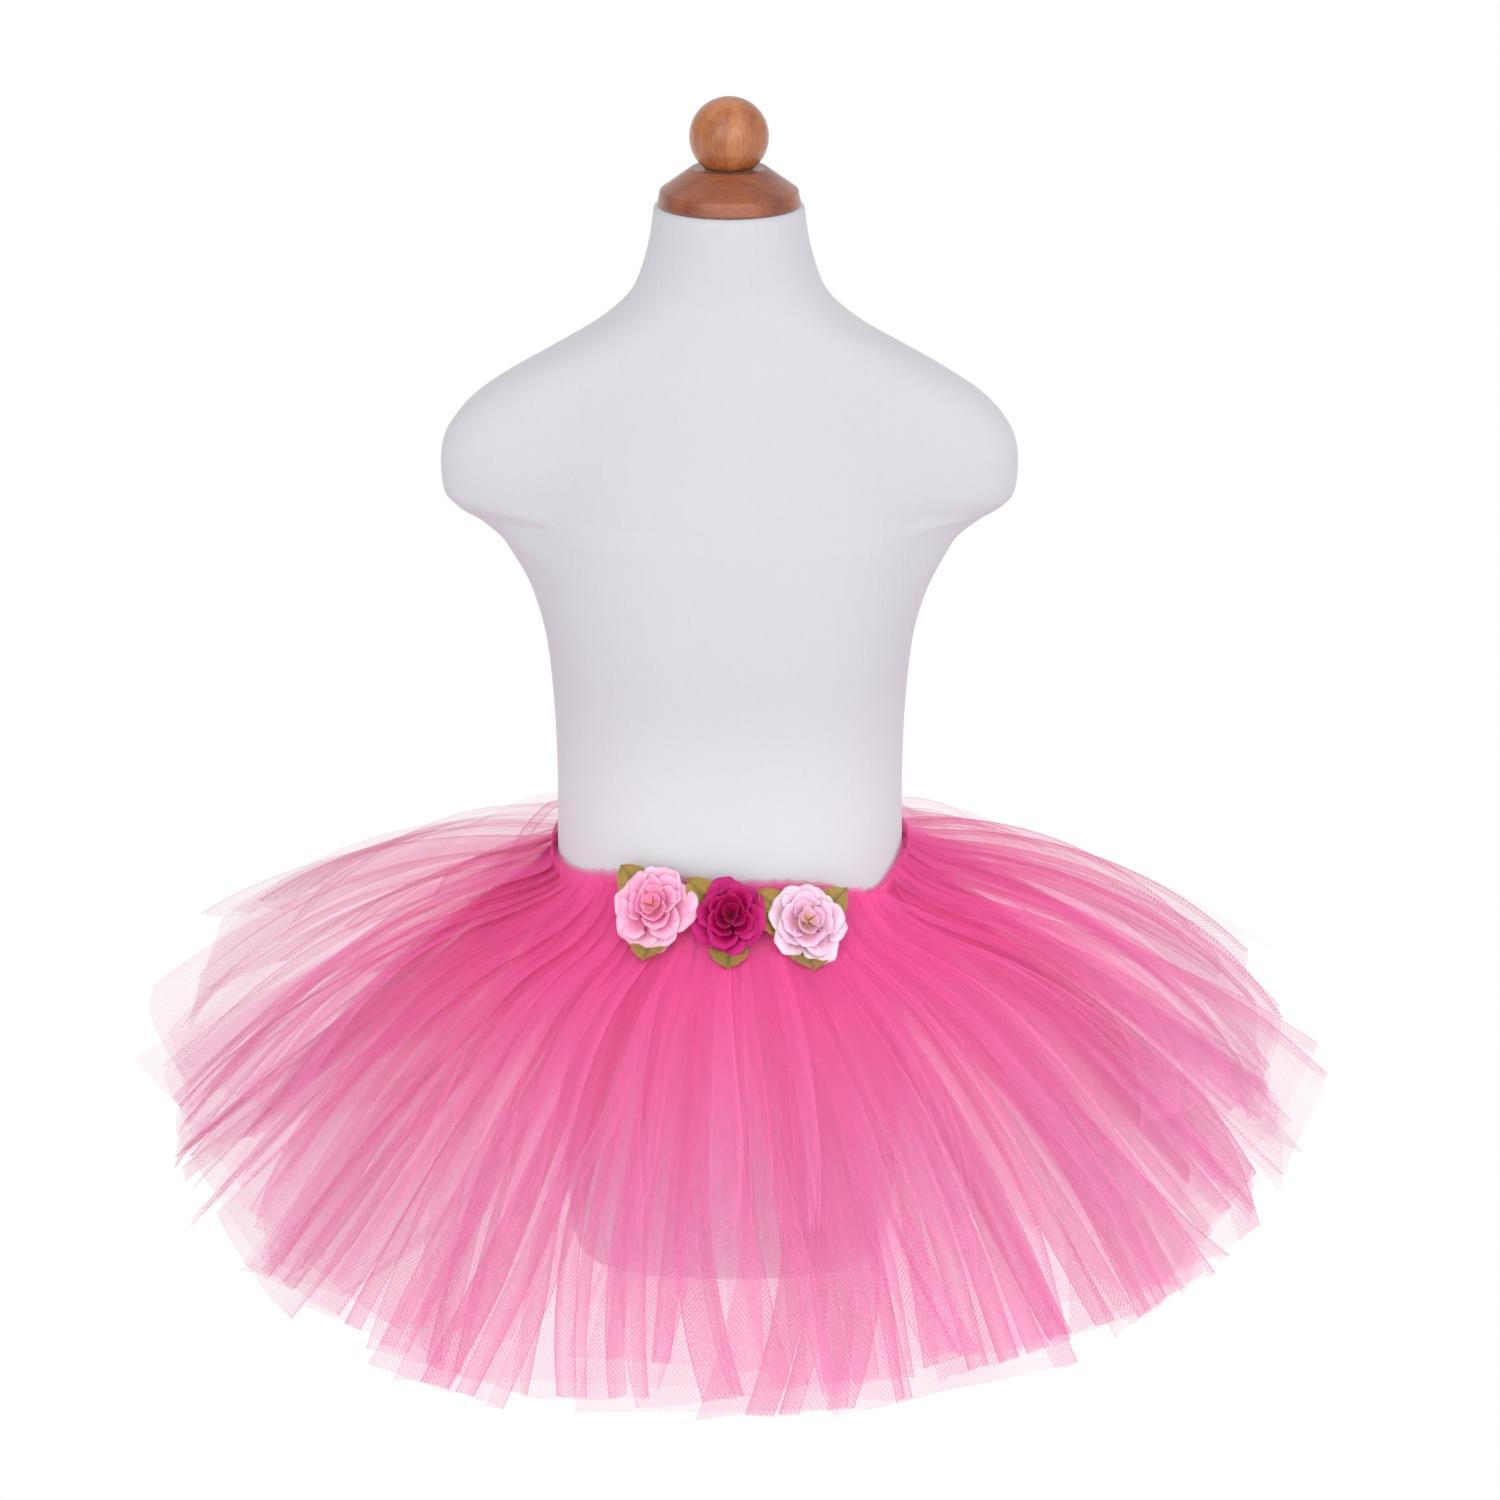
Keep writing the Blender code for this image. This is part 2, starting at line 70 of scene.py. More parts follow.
# A tier's tails leave the band at start_droop below level and end at end_droop, moved up or
# down by droop_shifts. The top tier hangs lower on the right by right_droop, and the lowest
# ones are longer in the middle of the front by front_longer. open_share of the tails lie
# open rather than closely pleated. front, side and back say how much more or less a layer
# covers there, and thinning how much less it covers at its hem in the front.
Tier = namedtuple(
    "Tier",
    "node root_height start_droop end_droop length droop_shifts open_share front side back"
    " thinning right_droop front_longer",
    defaults=(0.0, 0.0),
)
TIERS = [
    Tier(
        "tulle_tier_1", root_height=221.0, start_droop=4.0, end_droop=42.0, length=239.0,
        droop_shifts=(-1.0, 5.0), open_share=0.8, front=0.9, side=1.25, back=0.45,
        thinning=0.93, right_droop=6.0,
    ),
    Tier(
        "tulle_tier_2", root_height=217.0, start_droop=19.0, end_droop=44.0, length=252.0,
        droop_shifts=(-5.5, 5.5), open_share=0.65, front=1.0, side=1.25, back=0.5,
        thinning=0.8,
    ),
    Tier(
        "tulle_tier_3", root_height=213.0, start_droop=35.0, end_droop=47.0, length=261.0,
        droop_shifts=(-5.5, 5.5), open_share=0.4, front=1.4, side=1.25, back=1.25,
        thinning=0.35, front_longer=12.0,
    ),
    Tier(
        "tulle_tier_4", root_height=209.0, start_droop=44.0, end_droop=54.0, length=261.0,
        droop_shifts=(-5.5, 3.0), open_share=0.4, front=1.55, side=1.25, back=1.4,
        thinning=0.25, front_longer=12.0,
    ),
]
PRESS_DEPTH = 17.0  # the roses press the tails down at the front
PRESS_PEAK = 34.0  # most at this distance along them
PRESS_SPREAD = 74.0  # and for this many degrees either side of the front

# ---------- tulle strips
KNOTS = 36  # strips knotted on in each of the two rounds
TAILS_PER_TIER = 36
STRIP_WIDTH = 150.0  # a strip is cut from a 6 inch roll, and folded in half over the band
TAIL_ROWS = 22  # rows of points down a tail, closer together near its knot
ROW_GROWTH = 1.2
FORWARD_STEPS = 4  # columns on the wide and on the hidden side of each pleat
BACK_STEPS = 2
CREASES = (0.3, 0.7, 1.0, 1.0, 1.0)  # where a crease runs down the wide side of a pleat
FLOOR_CLEARANCE = 1.5
# the shape of a tail
ROOT_SPREAD = 28.0  # its width where it leaves its knot
ROOT_PLEAT_HEIGHT = 1.5
ROOT_GATHER = 0.34  # share of the strip's width that its pleats still show there
OPENED_AT = 0.8  # share of the length where all of the width has opened out
PANEL_BULGE = 13.0  # how far the wide side of a broad pleat bellies at the hem
SPREAD_CURVE = 0.75  # powers of the way down that its shape follows
DRIFT_CURVE = 1.5
ROLL_CURVE = 1.3
CUT_CURVE = 8  # the cut's slant and jags fade out above the hem
TIP_FROM = 0.6  # share of the length where a bent tip starts to bend
WAVE = 6.28  # radians in a whole wave
# how its first part curves down from the top of the band
ROLL_OVER = 22.0  # length of that part
ROLL_LEAD = 8.0  # it takes the tail's slope from a place this much further on
ROLL_RISE = 12.5  # its start above its tier's root
SIDE_ROLL_DROP = 6.5  # less of it at the sides and back
ROSE_SPREAD = 42.0  # the tails lie close to the band for this far either side of the front
OVER_LOOSE = Vector((5.0, -3.0))  # out and up from its start, beside the roses and
OVER_CLOSE = Vector((0.4, -9.0))  # under them
# how the tails differ round the skirt
FRONT_SPREAD = 62.0  # degrees either side that count as the front for the cover
LONGER_SPREAD = 32.0  # and for the longer tails
BACK_FROM = 100.0  # degrees from the front where the back's cover starts and ends
BACK_TO = 175.0
BACK_FADE_IN = 25.0
BACK_FADE_OUT = 20.0
# how the net looks
FOLD_SHADING = 0.12  # how far its folds turn the direction that it is shaded by
SPLAY = 0.55  # the threads face outwards as well as out of their layer
CREASED = (0.5, 1.5)  # fine creases down the net make it cover more or less
CREASED_FROM = 0.12
ROOT_LAYERS = 0.75  # gathered layers that lie in line cover less than loose ones
CUT_EDGE = 0.45  # a cut edge shows less than a fold: like a place this far from one
ROOT_SOFTENED = 1.2  # near the knots the folds are pressed together and show less
ROOT_SOFTENED_TO = 0.16
HEM_THINNING = 0.25  # the net covers less where it has been handled and pulled open


# ---------- materials
def linear(hex_colour):
    """A linear RGBA colour from an sRGB hex value."""
    shares = [int(hex_colour[i:i + 2], 16) / 255 for i in (1, 3, 5)]
    return [s / 12.92 if s <= 0.04045 else ((s + 0.055) / 1.055) ** 2.4 for s in shares] + [1.0]


def add(tree, kind, settings, links=None):
    """Adds a node, with its properties or unlinked inputs set and its other inputs linked.

    A colour is given as its hex value.
    """
    node = tree.nodes.new("ShaderNode" + kind)
    for key, value in settings.items():
        if isinstance(key, str) and hasattr(node, key):
            setattr(node, key, value)
        else:
            node.inputs[key].default_value = linear(value) if isinstance(value, str) else value
    for key, (source, output) in (links or {}).items():
        tree.links.new(source.outputs[output], node.inputs[key])
    return node


def start_material(name):
    """A new material and its empty tree of nodes."""
    made = bpy.data.materials.new(name)
    made.use_nodes = True
    made.node_tree.nodes.clear()
    return made, made.node_tree


def finish_material(tree, settings, links):
    """The surface shader and the output that end each material."""
    shader = add(tree, "BsdfPrincipled", settings, links)
    add(tree, "OutputMaterial", {}, {"Surface": (shader, "BSDF")})


def patches_of(size):
    """The scale of a noise texture whose patches are this many millimetres across."""
    return 1 / (size * MM)


LAYER_COVER = 0.18  # share of the light that one layer of the net stops
NET_PITCH = 2.6  # from hole to hole
NET_CONTRAST = 0.6  # how much more the threads cover than the holes
FOLD_LINE = 0.9  # how far from a fold the net turns on edge
FOLD_COVER = 0.3  # how much more it covers there
TULLE_PINK = "#EE8ABC"
# painted light: a deeper pink near the knots, for light scattered between many layers
TULLE_PAINTED_DEEP = "#FE68B0"
DEEP_TO = 50.0  # along the cloth from the knot: the painted deeper pink fades from here to PINK_FROM
PINK_FROM = 200.0


def cover_of(layers):
    """The share of the light that this many layers of tulle stop."""
    return 1 - (1 - LAYER_COVER) ** layers


def nylon_tulle():
    """Nylon tulle: a stiff see-through net of diamonds, heat-set and dyed through.

    One layer is mostly holes, so how much it covers follows from how many layers lie
    together there.
    """
    made, tree = start_material("pink nylon tulle")
    cover = add(tree, "Attribute", {"attribute_name": "cover"})
    from_fold = add(tree, "Attribute", {"attribute_name": "from_fold"})
    flat = add(tree, "UVMap", {"uv_map": "flat"})
    split = add(tree, "SeparateXYZ", {}, {0: (flat, 0)})
    # painted light: near the knots the net is painted a deeper pink, standing in for the deeper
    # colour that light takes on as it scatters between the many layers there
    turn = 2 * math.pi / NET_PITCH
    opened = add(
        tree, "Math",
        {"operation": "MULTIPLY_ADD", "use_clamp": True,
         1: 1 / (PINK_FROM - DEEP_TO) / turn, 2: -DEEP_TO / (PINK_FROM - DEEP_TO)},
        {0: (split, 1)},
    )
    colour = add(
        tree, "Mix", {"data_type": "RGBA", 6: TULLE_PAINTED_DEEP, 7: TULLE_PINK}, {0: (opened, 0)}
    )
    # holes of 1 mm are too fine to show, so the net is drawn with NET_PITCH ones. Where
    # several layers lie together their holes no longer line up, and the net fades out
    across = add(tree, "Math", {"operation": "COSINE"}, {0: (split, 0)})
    along = add(tree, "Math", {"operation": "COSINE"}, {0: (split, 1)})
    net = add(tree, "Math", {"operation": "MULTIPLY"}, {0: (across, 0), 1: (along, 0)})
    shown = add(tree, "Math", {"operation": "MULTIPLY"}, {0: (net, 0), 1: (opened, 0)})
    meshed = add(
        tree, "Math", {"operation": "MULTIPLY_ADD", 1: NET_CONTRAST, 2: 1.0}, {0: (shown, 0)}
    )
    # a fold is seen along the net, so it covers more
    fold = add(
        tree, "Math",
        {"operation": "MULTIPLY_ADD", "use_clamp": True, 1: -FOLD_COVER / FOLD_LINE, 2: FOLD_COVER},
        {0: (from_fold, "Fac")},
    )
    lined = add(tree, "Math", {"operation": "ADD"}, {0: (cover, "Fac"), 1: (fold, 0)})
    alpha = add(
        tree, "Math", {"operation": "MULTIPLY", "use_clamp": True}, {0: (lined, 0), 1: (meshed, 0)}
    )
    finish_material(
        tree,
        {"Roughness": 0.7, "Specular IOR Level": 0.0},
        {"Base Color": (colour, 2), "Alpha": (alpha, 0)},
    )
    return made


WALE_PITCH = 1.6
BANDS_PER_SCALE = 20.0  # the wave texture turns through this many radians a metre at scale 1
NAP = 1.4  # tufts of the brushed face
UNEVEN_KNIT = 110.0  # patches where the cotton is a little whiter
PAINTED_LIGHT_FROM = 340.0  # heights where the jersey starts to be painted lighter and where it is painted lightest, at the waist
PAINTED_LIGHT_MOST = 235.0  # where it is widest, at the waist


def brushed_jersey():
    """Cotton jersey, knitted fine and pulled taut over the form, with a soft brushed face."""
    made, tree = start_material("white cotton jersey")
    place = add(tree, "TexCoord", {}), "Object"
    # wales of 0.6 mm are too fine to show, so they are drawn WALE_PITCH apart
    wales = add(
        tree, "TexWave",
        {"wave_type": "BANDS", "bands_direction": "X",
         "Scale": 2 * math.pi / (BANDS_PER_SCALE * WALE_PITCH * MM), "Distortion": 1.2,
         "Detail": 1.0, "Detail Scale": 30.0},
        {"Vector": place},
    )
    nap = add(tree, "TexNoise", {"Scale": patches_of(NAP), "Detail": 3.0}, {"Vector": place})
    relief = add(
        tree, "Math", {"operation": "MULTIPLY_ADD", 1: 0.6}, {0: (wales, "Fac"), 2: (nap, "Fac")}
    )
    bump = add(tree, "Bump", {"Strength": 0.25, "Distance": 0.0004}, {"Height": (relief, 0)})
    patches = add(
        tree, "TexNoise", {"Scale": patches_of(UNEVEN_KNIT), "Detail": 2.0}, {"Vector": place}
    )
    knit = add(
        tree, "Mix", {"data_type": "RGBA", 6: "#C2C2C8", 7: "#C7C7CD"}, {0: (patches, "Fac")}
    )
    # painted light: the jersey is painted whiter from the chest down to the waist, standing in for
    # more light falling on it there
    height = add(tree, "SeparateXYZ", {}, {0: place})
    painted_light = add(
        tree, "MapRange",
        {"interpolation_type": "SMOOTHSTEP", "From Min": PAINTED_LIGHT_FROM * MM,
         "From Max": PAINTED_LIGHT_MOST * MM},
        {"Value": (height, 2)},
    )
    colour = add(
        tree, "Mix", {"data_type": "RGBA", 7: "#D4DADD"}, {0: (painted_light, 0), 6: (knit, 2)}
    )
    finish_material(
        tree,
        {"Roughness": 0.9, "Sheen Weight": 0.25, "Sheen Roughness": 0.5, "IOR": 1.5},
        {"Base Color": (colour, 2), "Normal": (bump, 0)},
    )
    return made


GRAIN_WIDTH = 16.0  # stripes of darker wood
FIBRE_WIDTH = 1.4  # pores of 0.1 mm are too fine to show, so they are drawn coarser


def varnished_maple(name, stretch, dark, pale):
    """Maple turned on a lathe, stained honey brown and varnished."""
    made, tree = start_material(name)
    place = add(tree, "TexCoord", {}), "Object"
    laid = add(tree, "Mapping", {"Scale": stretch}, {"Vector": place})
    figure = add(
        tree, "TexNoise",
        {"Scale": patches_of(GRAIN_WIDTH), "Detail": 3.0, "Distortion": 0.6},
        {"Vector": (laid, 0)},
    )
    fibres = add(
        tree, "TexNoise", {"Scale": patches_of(FIBRE_WIDTH), "Detail": 2.0}, {"Vector": (laid, 0)}
    )
    grain = add(
        tree, "Math", {"operation": "MULTIPLY_ADD", 1: 0.5},
        {0: (fibres, "Fac"), 2: (figure, "Fac")},
    )
    share = add(tree, "MapRange", {"From Min": 0.55, "From Max": 0.95}, {"Value": (grain, 0)})
    colour = add(tree, "Mix", {"data_type": "RGBA", 6: dark, 7: pale}, {0: (share, 0)})
    bump = add(tree, "Bump", {"Strength": 0.12, "Distance": 0.0002}, {"Height": (grain, 0)})
    finish_material(
        tree,
        {"Roughness": 0.42, "Coat Weight": 0.6, "Coat Roughness": 0.16, "IOR": 1.5},
        {"Base Color": (colour, 2), "Normal": (bump, 0)},
    )
    return made


CRUMPLE = 3.9
UNEVEN_DYE = 6.2


def polyester_silk(name, heart, body, rim):
    """Polyester silk, cut and heat-pressed into petals, dyed deeper towards the heart."""
    made, tree = start_material(name)
    outward = add(tree, "Attribute", {"attribute_name": "outward"})
    place = add(tree, "TexCoord", {}), "Object"
    # crumples of 4 mm, with finer ones in them down to 0.5 mm; threads of 0.1 mm don't show
    crumples = add(
        tree, "TexNoise",
        {"Scale": patches_of(CRUMPLE), "Detail": 3.0, "Roughness": 0.6},
        {"Vector": place},
    )
    dye = add(
        tree, "TexNoise", {"Scale": patches_of(UNEVEN_DYE), "Detail": 2.0}, {"Vector": place}
    )
    uneven = add(tree, "Math", {"operation": "MULTIPLY_ADD", 1: 0.35, 2: -0.17}, {0: (dye, "Fac")})
    place_out = add(tree, "Math", {"operation": "ADD"}, {0: (outward, "Fac"), 1: (uneven, 0)})
    inner = add(tree, "MapRange", {"From Min": 0.15, "From Max": 0.65}, {"Value": (place_out, 0)})
    outer = add(tree, "MapRange", {"From Min": 0.7, "From Max": 1.05}, {"Value": (place_out, 0)})
    deep = add(tree, "Mix", {"data_type": "RGBA", 6: heart, 7: body}, {0: (inner, 0)})
    colour = add(tree, "Mix", {"data_type": "RGBA", 7: rim}, {0: (outer, 0), 6: (deep, 2)})
    bump = add(tree, "Bump", {"Strength": 0.7, "Distance": 0.0012}, {"Height": (crumples, "Fac")})
    finish_material(
        tree,
        {"Roughness": 0.62, "Specular IOR Level": 0.15, "Sheen Weight": 0.1,
         "Sheen Roughness": 0.35, "IOR": 1.5},
        {"Base Color": (colour, 2), "Normal": (bump, 0)},
    )
    return made


LEAF_PATCH = 7.7  # browner and greener patches
SATIN_THREADS = 0.7  # threads of 0.1 mm are too fine to show, so they are drawn coarser


def leaf_satin():
    """Olive satin, stiffened and pressed with a midrib and side veins."""
    made, tree = start_material("olive leaf satin")
    vein = add(tree, "Attribute", {"attribute_name": "vein"})
    place = add(tree, "TexCoord", {}), "Object"
    dye = add(
        tree, "TexNoise", {"Scale": patches_of(LEAF_PATCH), "Detail": 3.0}, {"Vector": place}
    )
    patches = add(tree, "MapRange", {"From Min": 0.35, "From Max": 0.65}, {"Value": (dye, "Fac")})
    ground = add(tree, "Mix", {"data_type": "RGBA", 6: "#B48844", 7: "#9A8A40"}, {0: (patches, 0)})
    colour = add(
        tree, "Mix", {"data_type": "RGBA", 7: "#6F642A"}, {0: (vein, "Fac"), 6: (ground, 2)}
    )
    weave = add(
        tree, "TexNoise", {"Scale": patches_of(SATIN_THREADS), "Detail": 1.0}, {"Vector": place}
    )
    bump = add(tree, "Bump", {"Strength": 0.3, "Distance": 0.0002}, {"Height": (weave, "Fac")})
    finish_material(
        tree, {"Roughness": 0.5, "Specular IOR Level": 0.3, "Sheen Weight": 0.1, "IOR": 1.5},
        {"Base Color": (colour, 2), "Normal": (bump, 0)},
    )
    return made


# ---------- meshes
def add_piece(
    name, points, faces, finish, slot, nodes, values=None, flat=None, sharp=None, lie=None
):
    """A piece in the place of the nodes it is named for.

    points are in millimetres. values are named numbers, one for each point, and flat gives
    each point's place on the uncut cloth. lie gives each point's direction out of the layer
    that the net lies in.
    """
    mesh = bpy.data.meshes.new(name)
    mesh.from_pydata([p * MM for p in points], [], faces)
    for key, numbers in (values or {}).items():
        mesh.attributes.new(key, "FLOAT", "POINT").data.foreach_set("value", numbers)
    if flat:
        layer = mesh.uv_layers.new(name="flat")
        turns = [Vector(place) * 2 * math.pi / NET_PITCH for place in flat]
        for loop in mesh.loops:
            layer.data[loop.index].uv = turns[loop.vertex_index]
    mesh.shade_smooth()
    if sharp:
        mesh.set_sharp_from_angle(angle=math.radians(sharp))
    if lie:
        # net scatters light the same way however it is pleated, so it is shaded mostly as
        # the smooth layer it lies in and only a little by its own folds
        normals = []
        for face in mesh.polygons:
            for index in face.vertices:
                out = lie[index] if face.normal.dot(lie[index]) > 0 else -lie[index]
                normals.append((face.normal * FOLD_SHADING + out).normalized())
        mesh.normals_split_custom_set(normals)
    mesh.materials.append(finish)
    piece = bpy.data.objects.new(name, mesh)
    bpy.context.scene.collection.objects.link(piece)
    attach(piece, BODY)
    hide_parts(*nodes)
    return piece


def grid_faces(first, rows, columns):
    """Quads over a grid of points, given the index of its first one."""
    for i in range(rows - 1):
        for j in range(columns - 1):
            a = first + i * columns + j
            yield a, a + 1, a + columns + 1, a + columns


def tube_faces(rings, columns):
    """Quads between closed rings of points, from the lowest ring up."""
    faces = []
    for below in range(0, (rings - 1) * columns, columns):
        above = below + columns
        for i in range(columns):
            j = (i + 1) % columns
            faces.append((below + i, below + j, above + j, above + i))
    return faces


def end_faces(rings, columns):
    """The two flat ends of such a tube."""
    top = (rings - 1) * columns
    return [tuple(reversed(range(columns))), tuple(range(top, top + columns))]


# ---------- dress form
END_CREASE = 0.8  # how sharply the torso's flat ends meet its sides
LATHE_STEPS = 96
CAP_RIM_HEIGHT = 7.6
CAP_TOP_RADIUS = 19.5
BALL_SEAT = 14.0  # radius of the hollow that the ball's foot stands in
SEAT_DEPTH = 0.9
BALL_STEPS = 40
BALL_CROWN = 0.02  # radians from the top where the ball's profile ends


def level_rings(node):
    """The rings of a lofted node's points, each level, from the lowest to the highest."""
    levels = {}
    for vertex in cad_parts[node].data.vertices:
        place = vertex.co / MM
        levels.setdefault(round(place.z, 2), {})[tuple(round(c, 2) for c in place)] = place
    rings = []
    for height in sorted(levels):
        ring = list(levels[height].values())
        middle = sum(ring, Vector()) / len(ring)
        ring.sort(key=lambda p: math.atan2(p.y - middle.y, p.x - middle.x))
        rings.append(ring)
    return rings


def add_form(finish):
    """The torso through the solid's own rings, rounded between them."""
    rings = level_rings("form_torso")
    columns = len(rings[0])
    points = [p for ring in rings for p in ring]
    faces = tube_faces(len(rings), columns) + end_faces(len(rings), columns)
    piece = add_piece("jersey_form", points, faces, finish, "jersey", ["form_torso"])
    shape = bmesh.new()
    shape.from_mesh(piece.data)
    crease = shape.edges.layers.float.new("crease_edge")
    for edge in shape.edges:
        if any(len(face.verts) == columns for face in edge.link_faces):
            edge[crease] = END_CREASE
    shape.to_mesh(piece.data)
    shape.free()
    rounding = piece.modifiers.new("rounding", "SUBSURF")
    rounding.levels = rounding.render_levels = 2
    return piece


def add_turned(name, profile, node, finish, edge=None):
    """A piece turned on a lathe through (radius, height) places, from its foot to its top."""
    turns = [2 * math.pi * i / LATHE_STEPS for i in range(LATHE_STEPS)]
    points = [
        Vector((radius * math.cos(turn), radius * math.sin(turn), height))
        for radius, height in profile for turn in turns
    ]
    faces = tube_faces(len(profile), LATHE_STEPS) + end_faces(len(profile), LATHE_STEPS)
    piece = add_piece(name, points, faces, finish, "maple", [node], sharp=30)
    if edge:
        easing = piece.modifiers.new("eased edges", "BEVEL")
        easing.width = edge * MM
        easing.segments = 3
        easing.limit_method = "ANGLE"
        easing.angle_limit = math.radians(15)
    return piece


def add_neck_cap(finish):
    """A low cone on a rim, with a shallow seat turned into its top for the ball."""
    low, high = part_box("neck_cap")
    radius, foot, top = high.x / MM, low.z / MM, high.z / MM
    add_turned(
        "turned_neck_cap",
        [
            (radius - 0.7, foot), (radius, foot + 0.9), (radius - 1.4, foot + CAP_RIM_HEIGHT),
            (CAP_TOP_RADIUS, top), (CAP_TOP_RADIUS - 2.6, top - 0.15),
            (BALL_SEAT, top - SEAT_DEPTH), (2.0, top - SEAT_DEPTH),
        ],
        "neck_cap", finish, edge=0.5,
    )


def add_finial_ball(finish):
    """A ball with a short foot that stands in the cap's seat."""
    low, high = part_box("finial_ball")
    radius = high.x / MM
    middle = high.z / MM - radius
    foot = low.z / MM
    lowest = math.acos((middle - foot) / radius)
    profile = [(BALL_SEAT * 0.9, foot - 0.3)]
    for k in range(BALL_STEPS + 1):
        angle = lowest + (math.pi - BALL_CROWN - lowest) * k / BALL_STEPS
        profile.append((radius * math.sin(angle), middle - radius * math.cos(angle)))
    add_turned("turned_ball", profile, "finial_ball", finish)


# ---------- waist
# where the loops are pulled down: degrees from the front, how far either side, how deep
Dip = namedtuple("Dip", "at reach deep")
WAIST_DIPS = [Dip(-60.0, 32.0, 9.5), Dip(0.0, 18.0, 3.0), Dip(44.0, 24.0, 18.0)]
# the band's section, from its inner foot, up behind it and down in front: how far out and up
# each level lies, the swell of a knot, the rise of the frill and the layers of net there
BandLevel = namedtuple("BandLevel", "offset height swell rise layers")
BAND_SECTION = [
    BandLevel(0.7, 206.8, 0.0, 0.0, 6.0), BandLevel(0.7, 223.5, 0.0, 0.0, 6.0),
    BandLevel(0.7, 230.0, 0.0, 0.1, 5.0), BandLevel(0.8, 233.5, 0.0, 0.4, 2.2),
    BandLevel(1.0, 235.8, 0.0, 0.7, 0.9), BandLevel(1.4, 237.2, 0.1, 0.9, 0.15),
    BandLevel(2.2, 236.2, 0.3, 0.8, 0.8), BandLevel(2.8, 234.0, 0.6, 0.5, 2.4),
    BandLevel(3.0, 231.0, 1.0, 0.2, 5.0), BandLevel(2.8, 226.0, 1.2, 0.0, 6.0),
    BandLevel(2.5, 220.0, 0.6, 0.0, 6.0), BandLevel(2.4, 206.8, 0.0, 0.0, 6.0),
]
KNOT_STEPS = 6  # columns of points to a knot
KNOT_SWELLS = (0.4, 1.1)  # the knots are tied tighter or looser, by hand
FRILL_SCATTER = 1.6
FRILL_ON_KNOT = 0.7
FROM_FOLD_ON_BAND = 2.0  # no fold of the band is drawn as a line
KNOT_ROUND = 0.7  # under 1 for a flatter top
COLUMN_OF_NET = 1.6  # net from one column of points to the next
LEVEL_OF_NET = 3.0  # and from one level to the next


def oval_at(height):
    """The form's oval at a height near the waist."""
    share = (height - WAIST_BELOW.height) / (WAIST_ABOVE.height - WAIST_BELOW.height)
    return WaistOval(*(a + (b - a) * share for a, b in zip(WAIST_BELOW, WAIST_ABOVE)))


def waist_point(facing, height, offset):
    """(x, y) where the form's oval at a height faces a direction, moved straight out."""
    oval = oval_at(height)
    half_depth = (oval.front + oval.back) / 2
    power = oval.squareness / (oval.squareness - 1)
    nx, ny = math.cos(facing), math.sin(facing)
    wide = (oval.half_width * abs(nx)) ** power
    deep = (half_depth * abs(ny)) ** power
    size = (wide + deep) ** (1 / oval.squareness)
    x = math.copysign(oval.half_width * (oval.half_width * abs(nx)) ** (power - 1) / size, nx)
    y = math.copysign(half_depth * (half_depth * abs(ny)) ** (power - 1) / size, ny)
    return x + offset * nx, y + (oval.back - oval.front) / 2 + offset * ny


def even_facings(count):
    """Directions whose points are evenly spaced round the skirt, halfway down the tails."""
    fine = [2 * math.pi * i / FACING_STEPS for i in range(FACING_STEPS + 1)]
    places = [Vector(waist_point(facing, KNOTS_FROM, HALF_WAY_OUT)) for facing in fine]
    travelled = [0.0]
    for before, after in zip(places, places[1:]):
        travelled.append(travelled[-1] + (after - before).length)
    facings = []
    step = 0
    for i in range(count):
        wanted = travelled[-1] * i / count
        while travelled[step + 1] <= wanted:
            step += 1
        share = (wanted - travelled[step]) / (travelled[step + 1] - travelled[step])
        facings.append(fine[step] + (fine[step + 1] - fine[step]) * share)
    return facings


def from_front(facing):
    """Degrees from the front to a facing, positive to the right."""
    return (math.degrees(facing) - 270 + 180) % 360 - 180


def waist_dip(facing):
    """How far the loops are pulled down at a facing."""
    return sum(
        dip.deep * math.exp(-(((from_front(facing) - dip.at) / dip.reach) ** 2))
        for dip in WAIST_DIPS
    )


def add_waistband(finish):
    """The elastic with the strips looped round it: each comes up behind it and over its top,
    where the loops stand up a little as a soft uneven frill against the jersey.
    """
    chance = random.Random(5)
    columns = KNOTS * 2 * KNOT_STEPS
    swells = [chance.uniform(*KNOT_SWELLS) for _ in range(KNOTS * 2)]
    rough = [chance.uniform(-FRILL_SCATTER, FRILL_SCATTER) for _ in range(columns)]
    frill = [(rough[i - 2] + rough[i - 1] + rough[i]) / 3 for i in range(columns)]
    facings = even_facings(columns)
    points, flat, cover = [], [], []
    for number, level in enumerate(BAND_SECTION):
        pulled = max(0.0, (level.height - BAND_BOTTOM) / (BAND_TOP - BAND_BOTTOM))
        for i, facing in enumerate(facings):
            knot, step = divmod(i, KNOT_STEPS)
            round_knot = math.sin(math.pi * (step + 0.5) / KNOT_STEPS) ** KNOT_ROUND
            out = level.offset + level.swell * round_knot * swells[knot]
            lift = level.rise * (frill[i] + round_knot * swells[knot] * FRILL_ON_KNOT)
            lift -= waist_dip(facing) * pulled
            x, y = waist_point(facing, min(level.height, BAND_TOP), out)
            points.append(Vector((x, y, level.height + lift)))
            flat.append((i * COLUMN_OF_NET, number * LEVEL_OF_NET))
            cover.append(cover_of(level.layers))
    add_piece(
        "knotted_waistband", points, tube_faces(len(BAND_SECTION), columns), finish, "tulle",
        ["waistband"], flat=flat,
        values={"cover": cover, "from_fold": [FROM_FOLD_ON_BAND] * len(points)},
    )


# ---------- tulle tails
# Each tail is half a strip. It leaves its knot at a facing, in its tier's arc of droop
# moved by droop_shift, and drifts sideways on the way down. Its pleats open to spread at
# the hem; roll turns it about its own length, and the tip bends sideways by tip_bend.
Tail = namedtuple(
    "Tail", "facing droop_shift drift length spread pleats pleat_height roll slant tip_bend cover"
)


